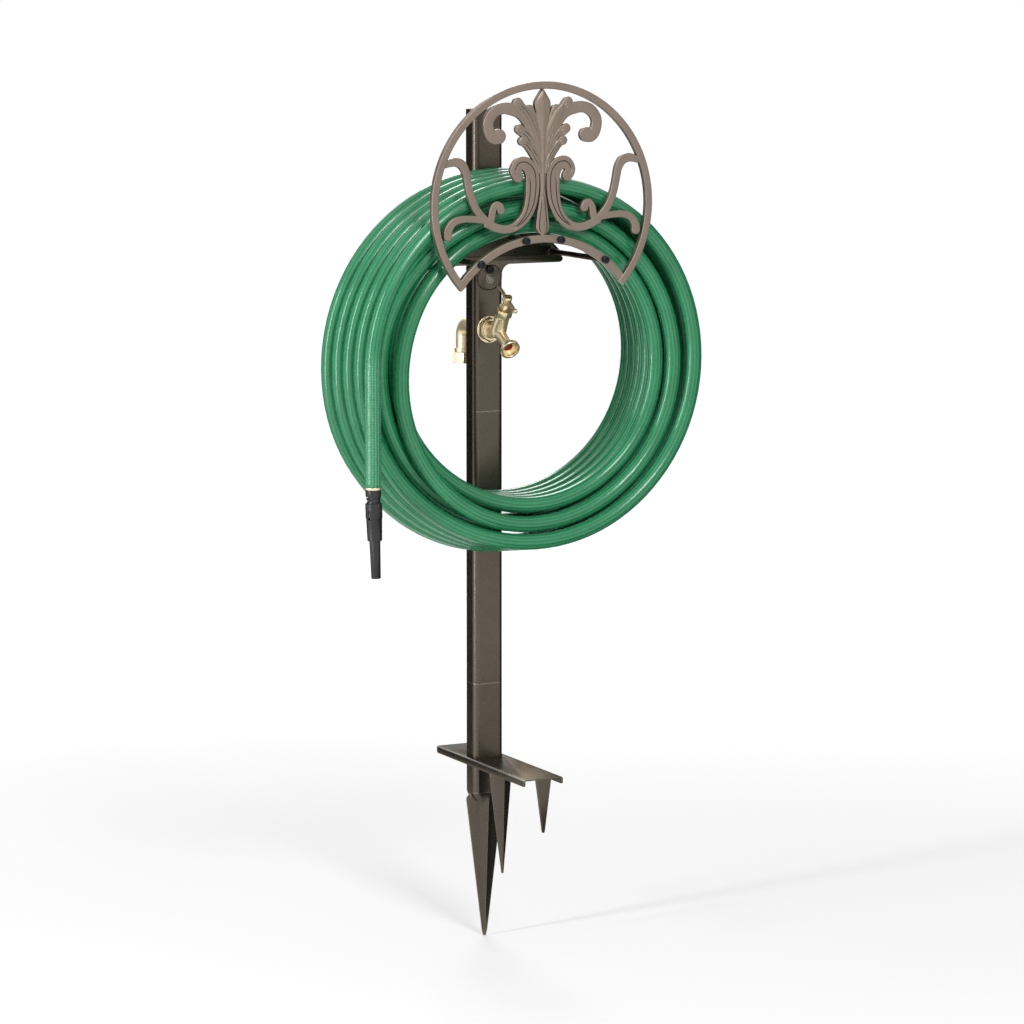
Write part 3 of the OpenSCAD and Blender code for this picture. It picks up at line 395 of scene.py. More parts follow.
# %% Route of the hose
HOSE = 22 * MM
LAYER_INNER = ((190.4, 1.9), (563, 1.65), (-144.5, 23))
LAYER_MIDDLE = ((213.8, 3), (561.5, 0.9), (-152.5, 25))
LAYER_OUTER = ((242, 2.9), (566.5, -1.6), (-160.5, 29))
STEP_LATE, STEP_TAKES = 0.04, 0.26
MIDDLE_STEP = 0.25
TO_MIDDLE, TO_OUTER = (4.93, 0.3), (9.8, 0.45)
BULGE_FROM, BULGE_TAKES, BULGE = 9.75, 0.56, 27
FOOT_DEPTH, FOOT_RADIUS = (-0.44, 0.15, 23.5), (-0.5, 0.16, 50)
FIRST_TURN, LAST_TURN = -0.5, 15
RINGS_PER_TURN, STRAIGHT_STEP = 96, 5 * MM
TAIL_END = 413 * MM
INNER_END = 482 * MM


def ease(t):
    """A smooth step from 0 to 1."""
    t = min(max(t, 0.0), 1.0)
    return t * t * (3 - 2 * t)


def after(s, first, takes):
    return ease((s - first) / takes)


def steps(s, first, last, late, takes):
    """How many steps to the next loop have been made at turn s."""
    return sum(ease((s - n - late) / takes) for n in range(first, last + 1))


def hose_point(s):
    """Middle of the hose at turn s, counted from the coil's left side."""
    layers = (
        (LAYER_INNER, 5 - steps(s, 0, 4, STEP_LATE, STEP_TAKES)),
        (LAYER_MIDDLE, steps(s, 6, 9, -MIDDLE_STEP, MIDDLE_STEP)),
        (LAYER_OUTER, 4 - steps(s, 11, 14, STEP_LATE, STEP_TAKES)),
    )
    inner, middle, outer = (Vector([a + b * k for a, b in layer]) for layer, k in layers)
    place = inner.lerp(middle, after(s, *TO_MIDDLE))
    radius, height, depth = place.lerp(outer, after(s, *TO_OUTER))
    climb = min(max((s - BULGE_FROM) / BULGE_TAKES, 0), 1)
    depth += BULGE * math.sin(math.pi * climb) ** 2
    depth += FOOT_DEPTH[2] * (1 - after(s, *FOOT_DEPTH[:2]))
    radius += FOOT_RADIUS[2] * (1 - after(s, *FOOT_RADIUS[:2]))
    angle = math.pi + math.tau * s
    return MM * Vector((radius * math.cos(angle), depth, height + radius * math.sin(angle)))


def hose_route():
    """Places from the inner end up, round all the loops and down to the tail's end."""
    count = round((LAST_TURN - FIRST_TURN) * RINGS_PER_TURN)
    loops = [hose_point(FIRST_TURN + i / RINGS_PER_TURN) for i in range(count + 1)]

    def straight(top, low):
        length = top.z - low
        rings = max(2, round(length / STRAIGHT_STEP))
        return [Vector((top.x, top.y, top.z - length * i / rings)) for i in range(1, rings + 1)]

    return straight(loops[0], INNER_END)[::-1] + loops + straight(loops[-1], TAIL_END)


route = hose_route()

# %% [markdown]
# The hose itself is a tube of rings along that route. Each ring stands square to the way
# ahead, and the direction towards the front is used to keep the rings from twisting.

# %% Hose
HOSE_SIDES = 20


def linked(data, name):
    piece = bpy.data.objects.new(name, data)
    bpy.context.scene.collection.objects.link(piece)
    return piece


def mesh_piece(mesh, name):
    """A piece from mesh code, with its faces turned outwards."""
    bmesh.ops.recalc_face_normals(mesh, faces=mesh.faces)
    data = bpy.data.meshes.new(name)
    mesh.to_mesh(data)
    mesh.free()
    return linked(data, name)


def tube_piece(name, line, radius, sides):
    mesh = bmesh.new()
    uv = mesh.loops.layers.uv.new("along_hose")
    last = len(line) - 1
    rings = []
    distance = [0.0] * len(line)
    for i in range(last - 1, -1, -1):
        distance[i] = distance[i + 1] + (line[i + 1] - line[i]).length
    for i, point in enumerate(line):
        ahead = (line[min(i + 1, last)] - line[max(i - 1, 0)]).normalized()
        side = ahead.cross(Vector((0, -1, 0.001))).normalized()
        up = side.cross(ahead)
        turn = [math.tau * k / sides for k in range(sides)]
        rings.append(
            [mesh.verts.new(point + radius * (side * math.cos(a) + up * math.sin(a))) for a in turn]
        )
    for i in range(last):
        for k in range(sides):
            j = (k + 1) % sides
            face = mesh.faces.new((rings[i][k], rings[i + 1][k], rings[i + 1][j], rings[i][j]))
            for loop, (u, v) in zip(face.loops, ((k, i), (k, i + 1), (k + 1, i + 1), (k + 1, i))):
                loop[uv].uv = (u / sides, distance[v])
    mesh.faces.new(rings[0])
    mesh.faces.new(rings[-1][::-1])
    for face in mesh.faces:
        face.smooth = len(face.verts) == 4
    return mesh_piece(mesh, name)


hose = tube_piece("hose", route, HOSE / 2, HOSE_SIDES)
hose.data.materials.append(vinyl)
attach(hose, "stand")
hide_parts("hose_coil", "hose_tail", "inner_end_hose")
print("hose", len(hose.data.polygons), "faces")

# %% [markdown]
# Every piece ends the same way: its place is put into its mesh, it is shaded smooth between
# sharp edges, and it gets its finish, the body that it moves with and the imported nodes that
# it stands for. Small bevels are what makes an edge catch the light, so they have a helper.
# Round parts come from a lathe: a line of edges is drawn and then spun about Z.

# %% Helpers for modelling
def choose(*pieces):
    """Selects these pieces alone, the last one active."""
    bpy.ops.object.select_all(action="DESELECT")
    for piece in pieces:
        piece.select_set(True)
    bpy.context.view_layer.objects.active = pieces[-1]


def start(primitive, **sizes):
    """Adds a primitive with nothing else selected, its place already in its mesh."""
    bpy.ops.object.select_all(action="DESELECT")
    getattr(bpy.ops.mesh, "primitive_" + primitive + "_add")(**sizes)
    bpy.ops.object.transform_apply(location=True, rotation=True, scale=True)
    return bpy.context.object


def edit(piece):
    choose(piece)
    bpy.ops.object.mode_set(mode="EDIT")


def close():
    bpy.ops.object.mode_set(mode="OBJECT")
    return bpy.context.object


def draw(points):
    """Starts a piece that is one line of edges through points, open in edit mode."""
    edit(start("plane", size=MM))
    bpy.ops.mesh.select_all(action="SELECT")
    bpy.ops.mesh.merge(type="CENTER")
    bpy.ops.transform.translate(value=points[0])
    for a, b in zip(points, points[1:]):
        bpy.ops.mesh.extrude_region_move(TRANSFORM_OT_translate={"value": b - a})
    bpy.ops.mesh.select_all(action="SELECT")


def modify(piece, kind, **settings):
    choose(piece)
    modifier = piece.modifiers.new(kind.lower(), kind)
    for key, value in settings.items():
        setattr(modifier, key, value)
    bpy.ops.object.modifier_apply(modifier=modifier.name)


def soften(piece, width, segments=2, limit=30):
    """Rounds every edge that is sharper than limit degrees."""
    modify(piece, "BEVEL", width=width, segments=segments, limit_method="ANGLE",
           angle_limit=math.radians(limit))


def move(piece, matrix):
    piece.data.transform(matrix)
    piece.data.update()


def cut(piece, cutter):
    modify(piece, "BOOLEAN", object=cutter, operation="DIFFERENCE", solver="EXACT")
    bpy.data.objects.remove(cutter)


def join(*pieces):
    choose(*reversed(pieces))
    bpy.ops.object.join()
    return bpy.context.object


def settle(piece, name, finish, nodes=(), body="stand", angle=32):
    """Finishes a piece. Edges that turn by less than angle degrees are shaded smooth."""
    piece.name = name
    choose(piece)
    bpy.ops.object.transform_apply(location=True, rotation=True, scale=True)
    bpy.ops.object.shade_smooth_by_angle(angle=math.radians(angle))
    piece.data.materials.clear()
    piece.data.materials.append(finish)
    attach(piece, body)
    if nodes:
        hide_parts(*nodes)
    print(name, len(piece.data.polygons), "faces")


def merge_ends():
    """Closes seams and poles of the piece that is being edited, and turns it outwards."""
    bpy.ops.mesh.select_all(action="SELECT")
    bpy.ops.mesh.remove_doubles(threshold=0.005 * MM)
    bpy.ops.mesh.normals_make_consistent(inside=False)


def turned(profile, sides=48, matrix=None):
    """A piece from the lathe, with its profile in (radius, height) and millimetres."""
    draw([Vector((r, 0, h)) * MM for r, h in profile])
    bpy.ops.mesh.spin(steps=sides, angle=math.tau, center=(0, 0, 0), axis=(0, 0, 1))
    merge_ends()
    piece = close()
    if matrix is not None:
        move(piece, matrix)
    return piece


def facing_front(y, z, x=0.0):
    """What is drawn along +Z points forwards, from a place given in metres."""
    return Matrix.Translation((x, y, z)) @ Matrix.Rotation(math.radians(90), 4, "X")


def corners(node, unit=1.0):
    """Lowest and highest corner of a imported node, in metres or in another unit."""
    return [Vector(corner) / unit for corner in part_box(node)]


# %% [markdown]
# The casting is one thin, open piece of scrollwork with rounded front edges and engraved
# lines. Curve objects with a bevel fold over themselves in the tight volutes, and a boolean
# union of so many bars tears. So each bar is drawn as a ribbon in mesh code: a smooth run of
# places with a half width at each, and a cross-section that is carried along it and turned
# round its ends. Bars that should melt together lie in one plane, and leaves that overlap
# lie a little in front of each other, as they were carved in the pattern.

# %% Run of a bar
RUN_STEPS = 5


def smooth_run(points):
    """A smooth run of (x, z, half width) through the points."""
    last = len(points) - 1
    run = []
    for i in range(last):
        a, b, c, d = (Vector(points[min(max(i + k, 0), last)]) for k in (-1, 0, 1, 2))
        for t in (j / RUN_STEPS for j in range(RUN_STEPS)):
            cubic = (3 * b - a - 3 * c + d) * t**3
            square = (2 * a - 5 * b + 4 * c - d) * t * t
            run.append(0.5 * (2 * b + (c - a) * t + square + cubic))
    return run + [Vector(points[last])]


def arc_run(radius, middle, first_angle, last_angle, half_width, count):
    run = []
    for i in range(count + 1):
        angle = math.radians(first_angle + (last_angle - first_angle) * i / count)
        place = (radius * math.cos(angle), middle + radius * math.sin(angle), half_width)
        run.append(Vector(place))
    return run


def heading(run, i):
    """Direction of the run at one of its places."""
    return (run[min(i + 1, len(run) - 1)] - run[max(i - 1, 0)]).xy.normalized()


def bend(run, i):
    """Curvature at a place of the run, more than 0 where it turns left."""
    j = min(max(i, 1), len(run) - 2)
    a, b, c = (run[j + k].xy for k in (-1, 0, 1))
    u, v = b - a, c - b
    return 2 * (u.x * v.y - u.y * v.x) / (u.length * v.length * (c - a).length)


# %% [markdown]
# The front edges of a bar are rounded by a quarter of an ellipse, and its back edges are
# only broken. Where a line is engraved, the section dips by a smooth groove. Half of the
# section is written down once, and both sides of the bar use it.

# %% Cross-section of a bar
EDGE, EDGE_SHARE = 1.1, 0.55
BACK_EDGE = 0.3
ROUNDED_EDGE = ((0.0, 1.0), (0.1, 0.58), (0.32, 0.26), (0.62, 0.07), (1.0, 0.0))
ENGRAVED_LINE = ((1.6, 0.0), (0.8, 0.75), (0.0, 1.0), (-0.8, 0.75), (-1.6, 0.0))
LINE_HALF, LINE_CLEAR = 0.44, 1.9


def half_section(width, front, back, crown, line):
    """Points of (distance from the middle, distance in front of the post) from the back
    edge inwards. crown is (height, power), and line is (share of the width, depth)."""
    edge = min(EDGE, EDGE_SHARE * width)
    broken = BACK_EDGE * edge
    points = [(width - broken, back), (width, back + broken)]
    points += [(width - edge * a, front - edge * b) for a, b in ROUNDED_EDGE]
    if line is None:
        points += [(0.6 * (width - edge), front), (0.3 * (width - edge), front)]
    else:
        share, depth = line
        middle = max(share * width, LINE_CLEAR * LINE_HALF)
        points += [(middle + k * LINE_HALF, front - depth * d) for k, d in ENGRAVED_LINE]
    height, power = crown
    return [
        (d, level if level == back else level - height * (d / width) ** power)
        for d, level in points
    ]


# %% [markdown]
# The ribbon joins the sections of a run with four-sided faces. On the inner side of a tight
# bend neighbouring sections would cross, so there no point lies further out than the
# bend's own centre. A round end turns the section about the last place, like a fan.

# %% Ribbon
CAP_STEPS = 8
NO_CROWN = (0.0, 2)
BEND_ROOM, STRAIGHT = 0.97, 1e-6


def ribbon(mesh, run, front, back, crown=NO_CROWN, line=None, ends=("round", "round")):
    """Adds one bar. line(share of the run, side) gives the engraved line on that side."""
    last = len(run) - 1

    def vertex(i, side, distance, level):
        spot = run[i].xy + side * distance
        return mesh.verts.new((spot.x * MM, -level * MM, spot.y * MM))

    def half_row(i, side, sign, limit=math.inf):
        mark = line(i / last, sign) if line else None
        section = half_section(run[i].z, front, back, crown, mark)
        return [vertex(i, side, min(d, limit), level) for d, level in section]

    def strip(a, b):
        for k in range(len(a) - 1):
            mesh.faces.new((a[k], b[k], b[k + 1], a[k + 1]))

    rows = []
    for i in range(last + 1):
        ahead, turn = heading(run, i), bend(run, i)
        left = Vector((-ahead.y, ahead.x))
        room = BEND_ROOM / max(abs(turn), STRAIGHT)
        limits = (room, math.inf) if turn > 0 else (math.inf, room)
        middle, under = vertex(i, left, 0, front), vertex(i, left, 0, back)
        sides = [half_row(i, left * s, s, r) for s, r in zip((1, -1), limits)]
        rows.append([[under] + side + [middle] for side in sides])
    for (left_a, right_a), (left_b, right_b) in zip(rows, rows[1:]):
        strip(left_a, left_b)
        strip(right_b, right_a)
    for i, outward, end in ((0, -1, ends[0]), (last, 1, ends[1])):
        left_row, right_row = rows[i]
        if end == "flat":
            mesh.faces.new(left_row + right_row[-2:0:-1])
            continue
        ahead = heading(run, i)
        fan = [left_row]
        for k in range(1, CAP_STEPS):
            angle = math.pi * k / CAP_STEPS
            side = Vector((-ahead.y, ahead.x)) * math.cos(angle)
            side += ahead * outward * math.sin(angle)
            fan.append([left_row[0]] + half_row(i, side, 1) + [left_row[-1]])
        fan.append(right_row)
        for a, b in zip(fan, fan[1:]):
            strip(a[1:-1], b[1:-1])
            mesh.faces.new((a[0], b[1], a[1]))
            mesh.faces.new((a[-2], b[-2], a[-1]))


# %% [markdown]
# The bars of the casting are listed from the root of each to its tip, as (distance from the
# middle, height, half width) in millimetres. The ring and the arched bar are plain arcs;
# the arched bar butts against the ring. The scrolls are engraved with a pair of lines that
# run from the volute down to the foot, and the leaves are slightly crowned. Bars of the
# left side are those of the right, mirrored. The backs differ by fractions of a millimetre,
# because faces in one plane would flicker.

# %% Front casting
RING_R, RING_CENTRE, RING_BAND, RING_OPEN = 165, 782, 10, 42.5
BAR_R, BAR_CENTRE, BAR_WIDTH, BAR_ENDS = 154, 583, 10.8, 38.6
RING_STEPS, BAR_STEPS = 150, 60
CAST_FRONT, CAST_BACK = 182.5, 174.5
LEAF_FRONT, LEAF_BACK = 181.7, 175.2
BACK_STEP, SIDE_STEP = 0.14, 0.07
MAIN_SCROLL = (
    (37, 820.5, 7.5), (41, 829, 7.6), (35, 838, 8.5), (24.5, 837, 9.5), (16.5, 827, 10),
    (15, 812, 10), (16, 795, 9.5), (19.5, 780, 8.5), (27, 766, 7.5), (39, 755.5, 6.3),
    (52, 751.3, 5.8), (65, 752.5, 5.8), (77, 757.5, 5.8), (90, 768, 5.6), (100, 781, 5.4),
    (107, 798, 5.2), (111, 815, 5.2), (114, 829, 5.6), (120, 839, 6.2), (129, 842.5, 6),
    (139, 841, 5), (149, 838, 4.4),
)
SMALL_CURL = (
    (83, 758, 4.5), (77.8, 763.5, 5), (76, 769, 5.1), (74.8, 776, 5), (72.6, 781, 4.9),
    (68.2, 784, 4.9), (64, 782, 5.2), (62.7, 777.2, 5.9),
)
LOW_BRANCH = (
    (88, 763.5, 4), (97, 765.5, 4.8), (108, 766.5, 4.8), (121, 766.3, 4.8), (133, 762, 5.3),
    (140, 752.5, 5.8), (141, 744.5, 6.2),
)
TOP_SCROLL = (
    (5, 846, 5), (10, 870, 7.5), (22, 893, 8), (33, 905.5, 8), (47, 911, 8.2),
    (60, 912, 7.6), (72, 907.5, 7.6), (80, 897, 7.5), (80.5, 886, 7.6), (77, 877.5, 8.2),
    (71.5, 873.5, 9), (65, 875, 10),
)
LOW_LOBE = ((4, 826, 3), (7, 838, 5), (15, 853, 6), (24, 864, 5.5), (30, 868, 6.5))
SIDE_LOBE = ((4, 838, 4), (12, 856, 7), (22, 874, 7), (34.5, 884, 6.8))
HIGH_LOBE = ((6, 855, 5), (10, 875, 8), (22, 900, 8), (31, 911, 7), (37.5, 919, 7.3))
INNER_LOBE = ((5, 848, 5), (8, 870, 8), (14, 892, 8), (20, 909, 7.5))
SPEAR = (
    (0, 937, 0.6), (0, 930, 5.5), (0, 919, 11.5), (0, 905, 10.5), (0, 885, 8), (0, 860, 6.6),
    (0, 828, 5.4), (0, 812, 4.5), (0, 800, 4.5), (0, 780, 7), (0, 757, 9.6), (0, 748, 8.6),
    (0, 742, 3.5),
)


def fade(t, rise, level, fall, end):
    """Rises from 0 at rise to 1 at level and falls from 1 at fall to 0 at end."""
    return ease((t - rise) / (level - rise)) * ease((end - t) / (end - fall))


def scroll_line(t, side):
    """Two lines down the strut, of which the outer one starts as the volute's spiral."""
    spread = 0.12 + 0.3 * fade(t, 0.05, 0.25, 0.3, 0.44)
    first = 0.02 if side < 0 else 0.2
    return spread, 1.35 * fade(t, first, first + 0.05, 0.4, 0.46)


def petal_line(t, side):
    """A line on each side of the spear's foot."""
    return 0.15 + 0.42 * fade(t, 0.6, 0.85, 0.9, 1.02), 1.1 * fade(t, 0.66, 0.74, 0.93, 0.96)


def leaf_line(t, side):
    """The vein of a leaf."""
    return 0.3, 0.8 * fade(t, 0.1, 0.3, 0.75, 0.92)


LEAF_CROWN = (0.6, 2)
casting_mesh = bmesh.new()
ring_run = arc_run(
    RING_R - RING_BAND / 2, RING_CENTRE, -RING_OPEN, 180 + RING_OPEN, RING_BAND / 2, RING_STEPS
)
bar_run = arc_run(BAR_R, BAR_CENTRE, BAR_ENDS, 180 - BAR_ENDS, BAR_WIDTH / 2, BAR_STEPS)
for run, back in ((ring_run, 0), (bar_run, 0.15)):
    ribbon(casting_mesh, run, CAST_FRONT - back, CAST_BACK, ends=("flat", "flat"))
ribbon(casting_mesh, smooth_run(SPEAR), LEAF_FRONT + 0.8, CAST_BACK, (1.3, 1), petal_line)
for order, (points, forward, crown, line) in enumerate((
    (MAIN_SCROLL, 0, NO_CROWN, scroll_line),
    (SMALL_CURL, 0.03, NO_CROWN, None),
    (LOW_BRANCH, 0.04, NO_CROWN, None),
    (TOP_SCROLL, 0.1, (0.3, 2), None),
    (LOW_LOBE, 0.55, LEAF_CROWN, leaf_line),
    (SIDE_LOBE, 0.3, LEAF_CROWN, leaf_line),
    (INNER_LOBE, -0.1, LEAF_CROWN, leaf_line),
    (HIGH_LOBE, 0.45, LEAF_CROWN, leaf_line),
)):
    for side in (1, -1):
        run = [Vector((side * x, z, w)) for x, z, w in smooth_run(points)]
        mirrored = (lambda t, s, line=line, side=side: line(t, s * side)) if line else None
        back = LEAF_BACK + BACK_STEP * order + SIDE_STEP * side
        ribbon(casting_mesh, run, LEAF_FRONT + forward, back, crown, mirrored)
settle(mesh_piece(casting_mesh, "casting"), "casting", taupe, ["face_casting"])

# %% [markdown]
# The step plate is a sheet bent down along both sides. By hand that is a line drawn along
# its section, drawn out to the plate's length and then given its thickness, after which the
# lower corners of the flanges are rounded and the post's hole is cut.

# %% Step plate
def sheet_along_y(section, first_y, last_y, thickness, corner):
    """A sheet with its outer face through section, in (x, z) and millimetres, and with its
    four corners rounded."""
    draw([Vector((x, first_y, z)) * MM for x, z in section])
    length = Vector((0, last_y - first_y, 0)) * MM
    bpy.ops.mesh.extrude_region_move(TRANSFORM_OT_translate={"value": length})
    piece = close()
    lowest = min(v.co.z for v in piece.data.vertices)
    for item in list(piece.data.edges) + list(piece.data.polygons):
        item.select = False
    for place in piece.data.vertices:
        place.select = place.co.z < lowest + 0.1 * MM
    edit(piece)
    bpy.ops.mesh.bevel(offset=corner * MM, segments=6, affect="VERTICES")
    bpy.ops.mesh.select_all(action="SELECT")
    bpy.ops.mesh.normals_make_consistent(inside=False)
    close()
    side = max(piece.data.polygons, key=lambda face: face.center.x)
    modify(piece, "SOLIDIFY", thickness=thickness * MM, offset=-1 if side.normal.x > 0 else 1,
           use_even_offset=True)
    return piece


def round_corners(piece, chosen, radius, segments=6):
    """Rounds the edges for which chosen(start, end) is true."""
    data = piece.data
    for edge in data.edges:
        a, b = (data.vertices[v].co / MM for v in edge.vertices)
        edge.select = chosen(a, b)
    for item in list(data.vertices) + list(data.polygons):
        item.select = False
    edit(piece)
    bpy.ops.mesh.select_mode(type="EDGE")
    bpy.ops.mesh.bevel(offset=radius * MM, segments=segments, affect="EDGES")
    bpy.ops.mesh.select_mode(type="VERT")
    close()


def rounded_block(width, depth, radius, low, high):
    """An upright block with rounded corners, for the post's outline."""
    block = start("cube", size=1, location=(0, 0, (low + high) / 2 * MM),
                  scale=(width * MM, depth * MM, (high - low) * MM))
    round_corners(block, lambda a, b: abs(a.z - b.z) > 1, radius, 8)
    return block


def quarter(x, z, radius, first, last):
    """Places along a bend, with its angles in degrees."""
    angles = [math.radians(first + (last - first) * i / BEND_STEPS) for i in range(BEND_STEPS + 1)]
    return [(x + radius * math.cos(a), z + radius * math.sin(a)) for a in angles]


SHEET = 2
BEND, BEND_STEPS = 2.5, 6
POST_WIDTH, POST_DEPTH, POST_CORNER = 45, 32, 8
plate_low, plate_high = corners("step_plate", MM)
HALF = plate_high.x
FLANGE_END, FLANGE_CORNER = -8, 3.2
PRONG_TOP, PRONG_TIP, PRONG_END = 12, 1.8, plate_low.z
PRONG_INSET, PRONG_CORNER = 0.3, 1.5


def step_plate():
    section = [(-HALF, FLANGE_END)]
    section += quarter(-HALF + BEND, SHEET - BEND, BEND, 180, 90)
    section += quarter(HALF - BEND, SHEET - BEND, BEND, 90, 0)
    section += [(HALF, FLANGE_END)]
    plate = sheet_along_y(section, plate_low.y, plate_high.y, SHEET, FLANGE_CORNER)
    cut(plate, rounded_block(POST_WIDTH, POST_DEPTH, POST_CORNER, -20, 20))
    prong = start("cube", size=1)
    for corner in prong.data.vertices:
        top = corner.co.z > 0
        corner.co = Vector((
            math.copysign(PRONG_TOP if top else PRONG_TIP, corner.co.x),
            plate_low.y + PRONG_INSET + (0 if corner.co.y < 0 else SHEET),
            SHEET / 2 if top else PRONG_END,
        )) * MM
    middle = (PRONG_END + SHEET / 2) / 2
    round_corners(
        prong, lambda a, b: max(a.z, b.z) < middle and abs(a.y - b.y) > 1, PRONG_CORNER
    )
    plate = join(plate, prong)
    soften(plate, 0.35 * MM)
    settle(plate, "step_plate_sheet", bronze_bend_highlight, ["step_plate"])


step_plate()

# %% [markdown]
# The prong behind it is a tapered sheet folded along its middle. It starts as a grid of
# three columns, the middle one is pulled forwards as the fold and the lowest row is drawn
# in to a point, and then the sheet gets its thickness.

# %% Folded prong
prong_low, prong_high = corners("folded_prong", MM)
TAPER, TAPER_POWER = 0.93, 1.08
ROOT_Z = 0.5


def folded_prong():
    middle_y = (prong_low.y + prong_high.y) / 2
    half = (prong_high.x - prong_low.x) / 2
    fold = (prong_high.y - prong_low.y - SHEET) / 2
    prong = start("grid", x_subdivisions=2, y_subdivisions=8, size=1)
    for corner in prong.data.vertices:
        side, down = corner.co.x * 2, 0.5 - corner.co.y
        taper = 1 - TAPER * down**TAPER_POWER
        depth = fold * (1 - 2 * (1 - abs(side)))
        z = prong_low.z * down + ROOT_Z * (1 - down)
        corner.co = Vector((side * half * taper, middle_y + depth * taper, z)) * MM
    modify(prong, "SOLIDIFY", thickness=SHEET * MM, offset=0, use_even_offset=True)
    edit(prong)
    merge_ends()
    close()
    soften(prong, 0.5 * MM)
    settle(prong, "prong_sheet", bronze_wide_edge_highlight, ["folded_prong"])


folded_prong()

# %% [markdown]
# The main spike is the post's own outline pinched into a four-pointed star that tapers to
# a blunt tip. No single operator turns one outline into another over a height, so this is
# a loft in mesh code: 64 places round the post, each with its place in the star, mixed by
# height. The ridges flare out before the hollows are pinched in, which is what leaves the
# scalloped shoulders. Lengths here are in millimetres down from the foot of the post.

# %% Main spike
SINK = 48
SPIKE_END = -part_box("ground_spike")[0][2] / MM
RIDGE, HOLLOW = (28.5, 15), (10.8, 6.3)
PER_SIDE = 8
SPIKE_RINGS = (0, 1, 2.5, 4.5, 7, 9.5, 12, 15, 18, 21, 25, 35, 60, 100, 140, 175, 200, 206, 207.6)
TAPER_FROM, SPIKE_TAPER = 10, 0.88
TIP_FROM, TIP_TAPER = 200, 0.35
FLARE_RIDGE, FLARE_HOLLOW = 9, 22
FIT = 0.985


def on_post(direction):
    """Where a direction from the axis meets the post's outline."""
    low, high = 0.0, POST_WIDTH
    inner = Vector((POST_WIDTH / 2 - POST_CORNER, POST_DEPTH / 2 - POST_CORNER))
    for _ in range(24):
        reach = (low + high) / 2
        spot = direction * reach
        out = Vector((max(abs(spot.x) - inner.x, 0), max(abs(spot.y) - inner.y, 0)))
        low, high = (reach, high) if out.length < POST_CORNER else (low, reach)
    return direction * low


def spike_outline():
    """(place on the post, place on the star, nearness to a hollow) all the way round."""
    places = []
    for side in range(8):
        ends = []
        for k in (side, side + 1):
            across, along = math.cos(math.radians(45 * k)), math.sin(math.radians(45 * k))
            ridge = Vector((RIDGE[0] * across, RIDGE[1] * along))
            hollow = Vector((math.copysign(HOLLOW[0], across), math.copysign(HOLLOW[1], along)))
            ends.append(hollow if k % 2 else ridge)
        for i in range(PER_SIDE):
            t = i / PER_SIDE
            star = ends[0].lerp(ends[1], t)
            near = t if side % 2 == 0 else 1 - t
            places.append((on_post(star.normalized()), star, near))
    return places


def ground_spike():
    mesh = bmesh.new()
    outline = spike_outline()
    rings = []
    for depth in SPIKE_RINGS:
        taper = 1 - SPIKE_TAPER * max(depth - TAPER_FROM, 0) / (SPIKE_END - SINK - TAPER_FROM)
        if depth > TIP_FROM:
            taper *= 1 - TIP_TAPER * (depth - TIP_FROM) / (SPIKE_RINGS[-1] - TIP_FROM)
        ring = []
        for post, star, near in outline:
            flare = ease(depth / (FLARE_RIDGE + (FLARE_HOLLOW - FLARE_RIDGE) * near))
            place = (post * FIT).lerp(star, flare) * taper
            ring.append(mesh.verts.new((place.x * MM, place.y * MM, -(SINK + depth) * MM)))
        rings.append(ring)
    count = len(outline)
    for upper, lower in zip(rings, rings[1:]):
        for i in range(count):
            j = (i + 1) % count
            mesh.faces.new((upper[i], upper[j], lower[j], lower[i]))
    mesh.faces.new(rings[0])
    mesh.faces.new(rings[-1][::-1])
    spike = mesh_piece(mesh, "spike")
    soften(spike, 0.4 * MM, limit=35)
    settle(spike, "spike_body", bronze_wide_edge_highlight, ["ground_spike"], angle=24)


ground_spike()

# %% [markdown]
# The tap leans forward on its pipe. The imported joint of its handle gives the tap's place
# and the direction of its stem, and the outlet leaves square to the stem. Everything on the
# tap is made upright at the origin and then moved by this one matrix.

# %% Place of the tap
turn_joint = next(j for j in frame["joints"] if j["name"] == "handle_turn")
outlet = next(m for m in frame["record"]["mounts"] if m["name"] == "tap_outlet")
TAP = Vector(turn_joint["pos_m"])
lean = math.acos(turn_joint["axis"][2])
tap_frame = Matrix.Translation(TAP) @ Matrix.Rotation(lean, 4, "X")
outlet_frame = tap_frame @ Matrix.Rotation(math.radians(90), 4, "X")
OUTLET = (Vector(outlet["pos_m"]) - TAP).length / MM
COLLAR_R = outlet["dims"]["r_mm"]
NUT_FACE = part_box("front_nut")[0][1]

# %% [markdown]
# The body is one casting, so its neck, tube and root flow into each other with soft
# fillets. A boolean union would leave sharp seams there. Instead the three turned parts are
# joined, remeshed with small voxels into one skin and smoothed, as a founder's file does.

# %% Cast body of the tap
BONNET_LOW, BONNET_TOP, HUB = 27, 38.6, 54
NECK, TUBE = 10.4, 7.5


def tap_casting():
    neck = turned(
        [(0, -11), (5, -9.8), (9, -6.5), (10.9, -1.5), (11.2, 3), (10.9, 9), (NECK, 16),
         (NECK, BONNET_LOW - 1.4), (NECK + 0.9, BONNET_LOW - 0.6), (NECK + 0.9, BONNET_LOW + 0.4),
         (0, BONNET_LOW + 0.4)],
        matrix=tap_frame,
    )
    tube = turned(
        [(0, -4), (8, -4), (8.4, 6), (7.9, 12), (TUBE, 17), (TUBE, OUTLET - 9), (0, OUTLET - 9)],
        matrix=outlet_frame,
    )
    back = (TAP.y - NUT_FACE) / MM
    root = turned(
        [(0, back - 0.6), (12.6, back - 0.6), (12.4, back + 1), (10.8, back + 4),
         (10.2, back + 8), (10.2, 2), (0, 4)],
        matrix=facing_front(TAP.y, TAP.z),
    )
    body = join(neck, tube, root)
    modify(body, "REMESH", mode="VOXEL", voxel_size=0.62 * MM)
    modify(body, "SMOOTH", factor=0.6, iterations=9)
    settle(body, "tap_casting", brass_cast, ["tap_body"], angle=60)


tap_casting()

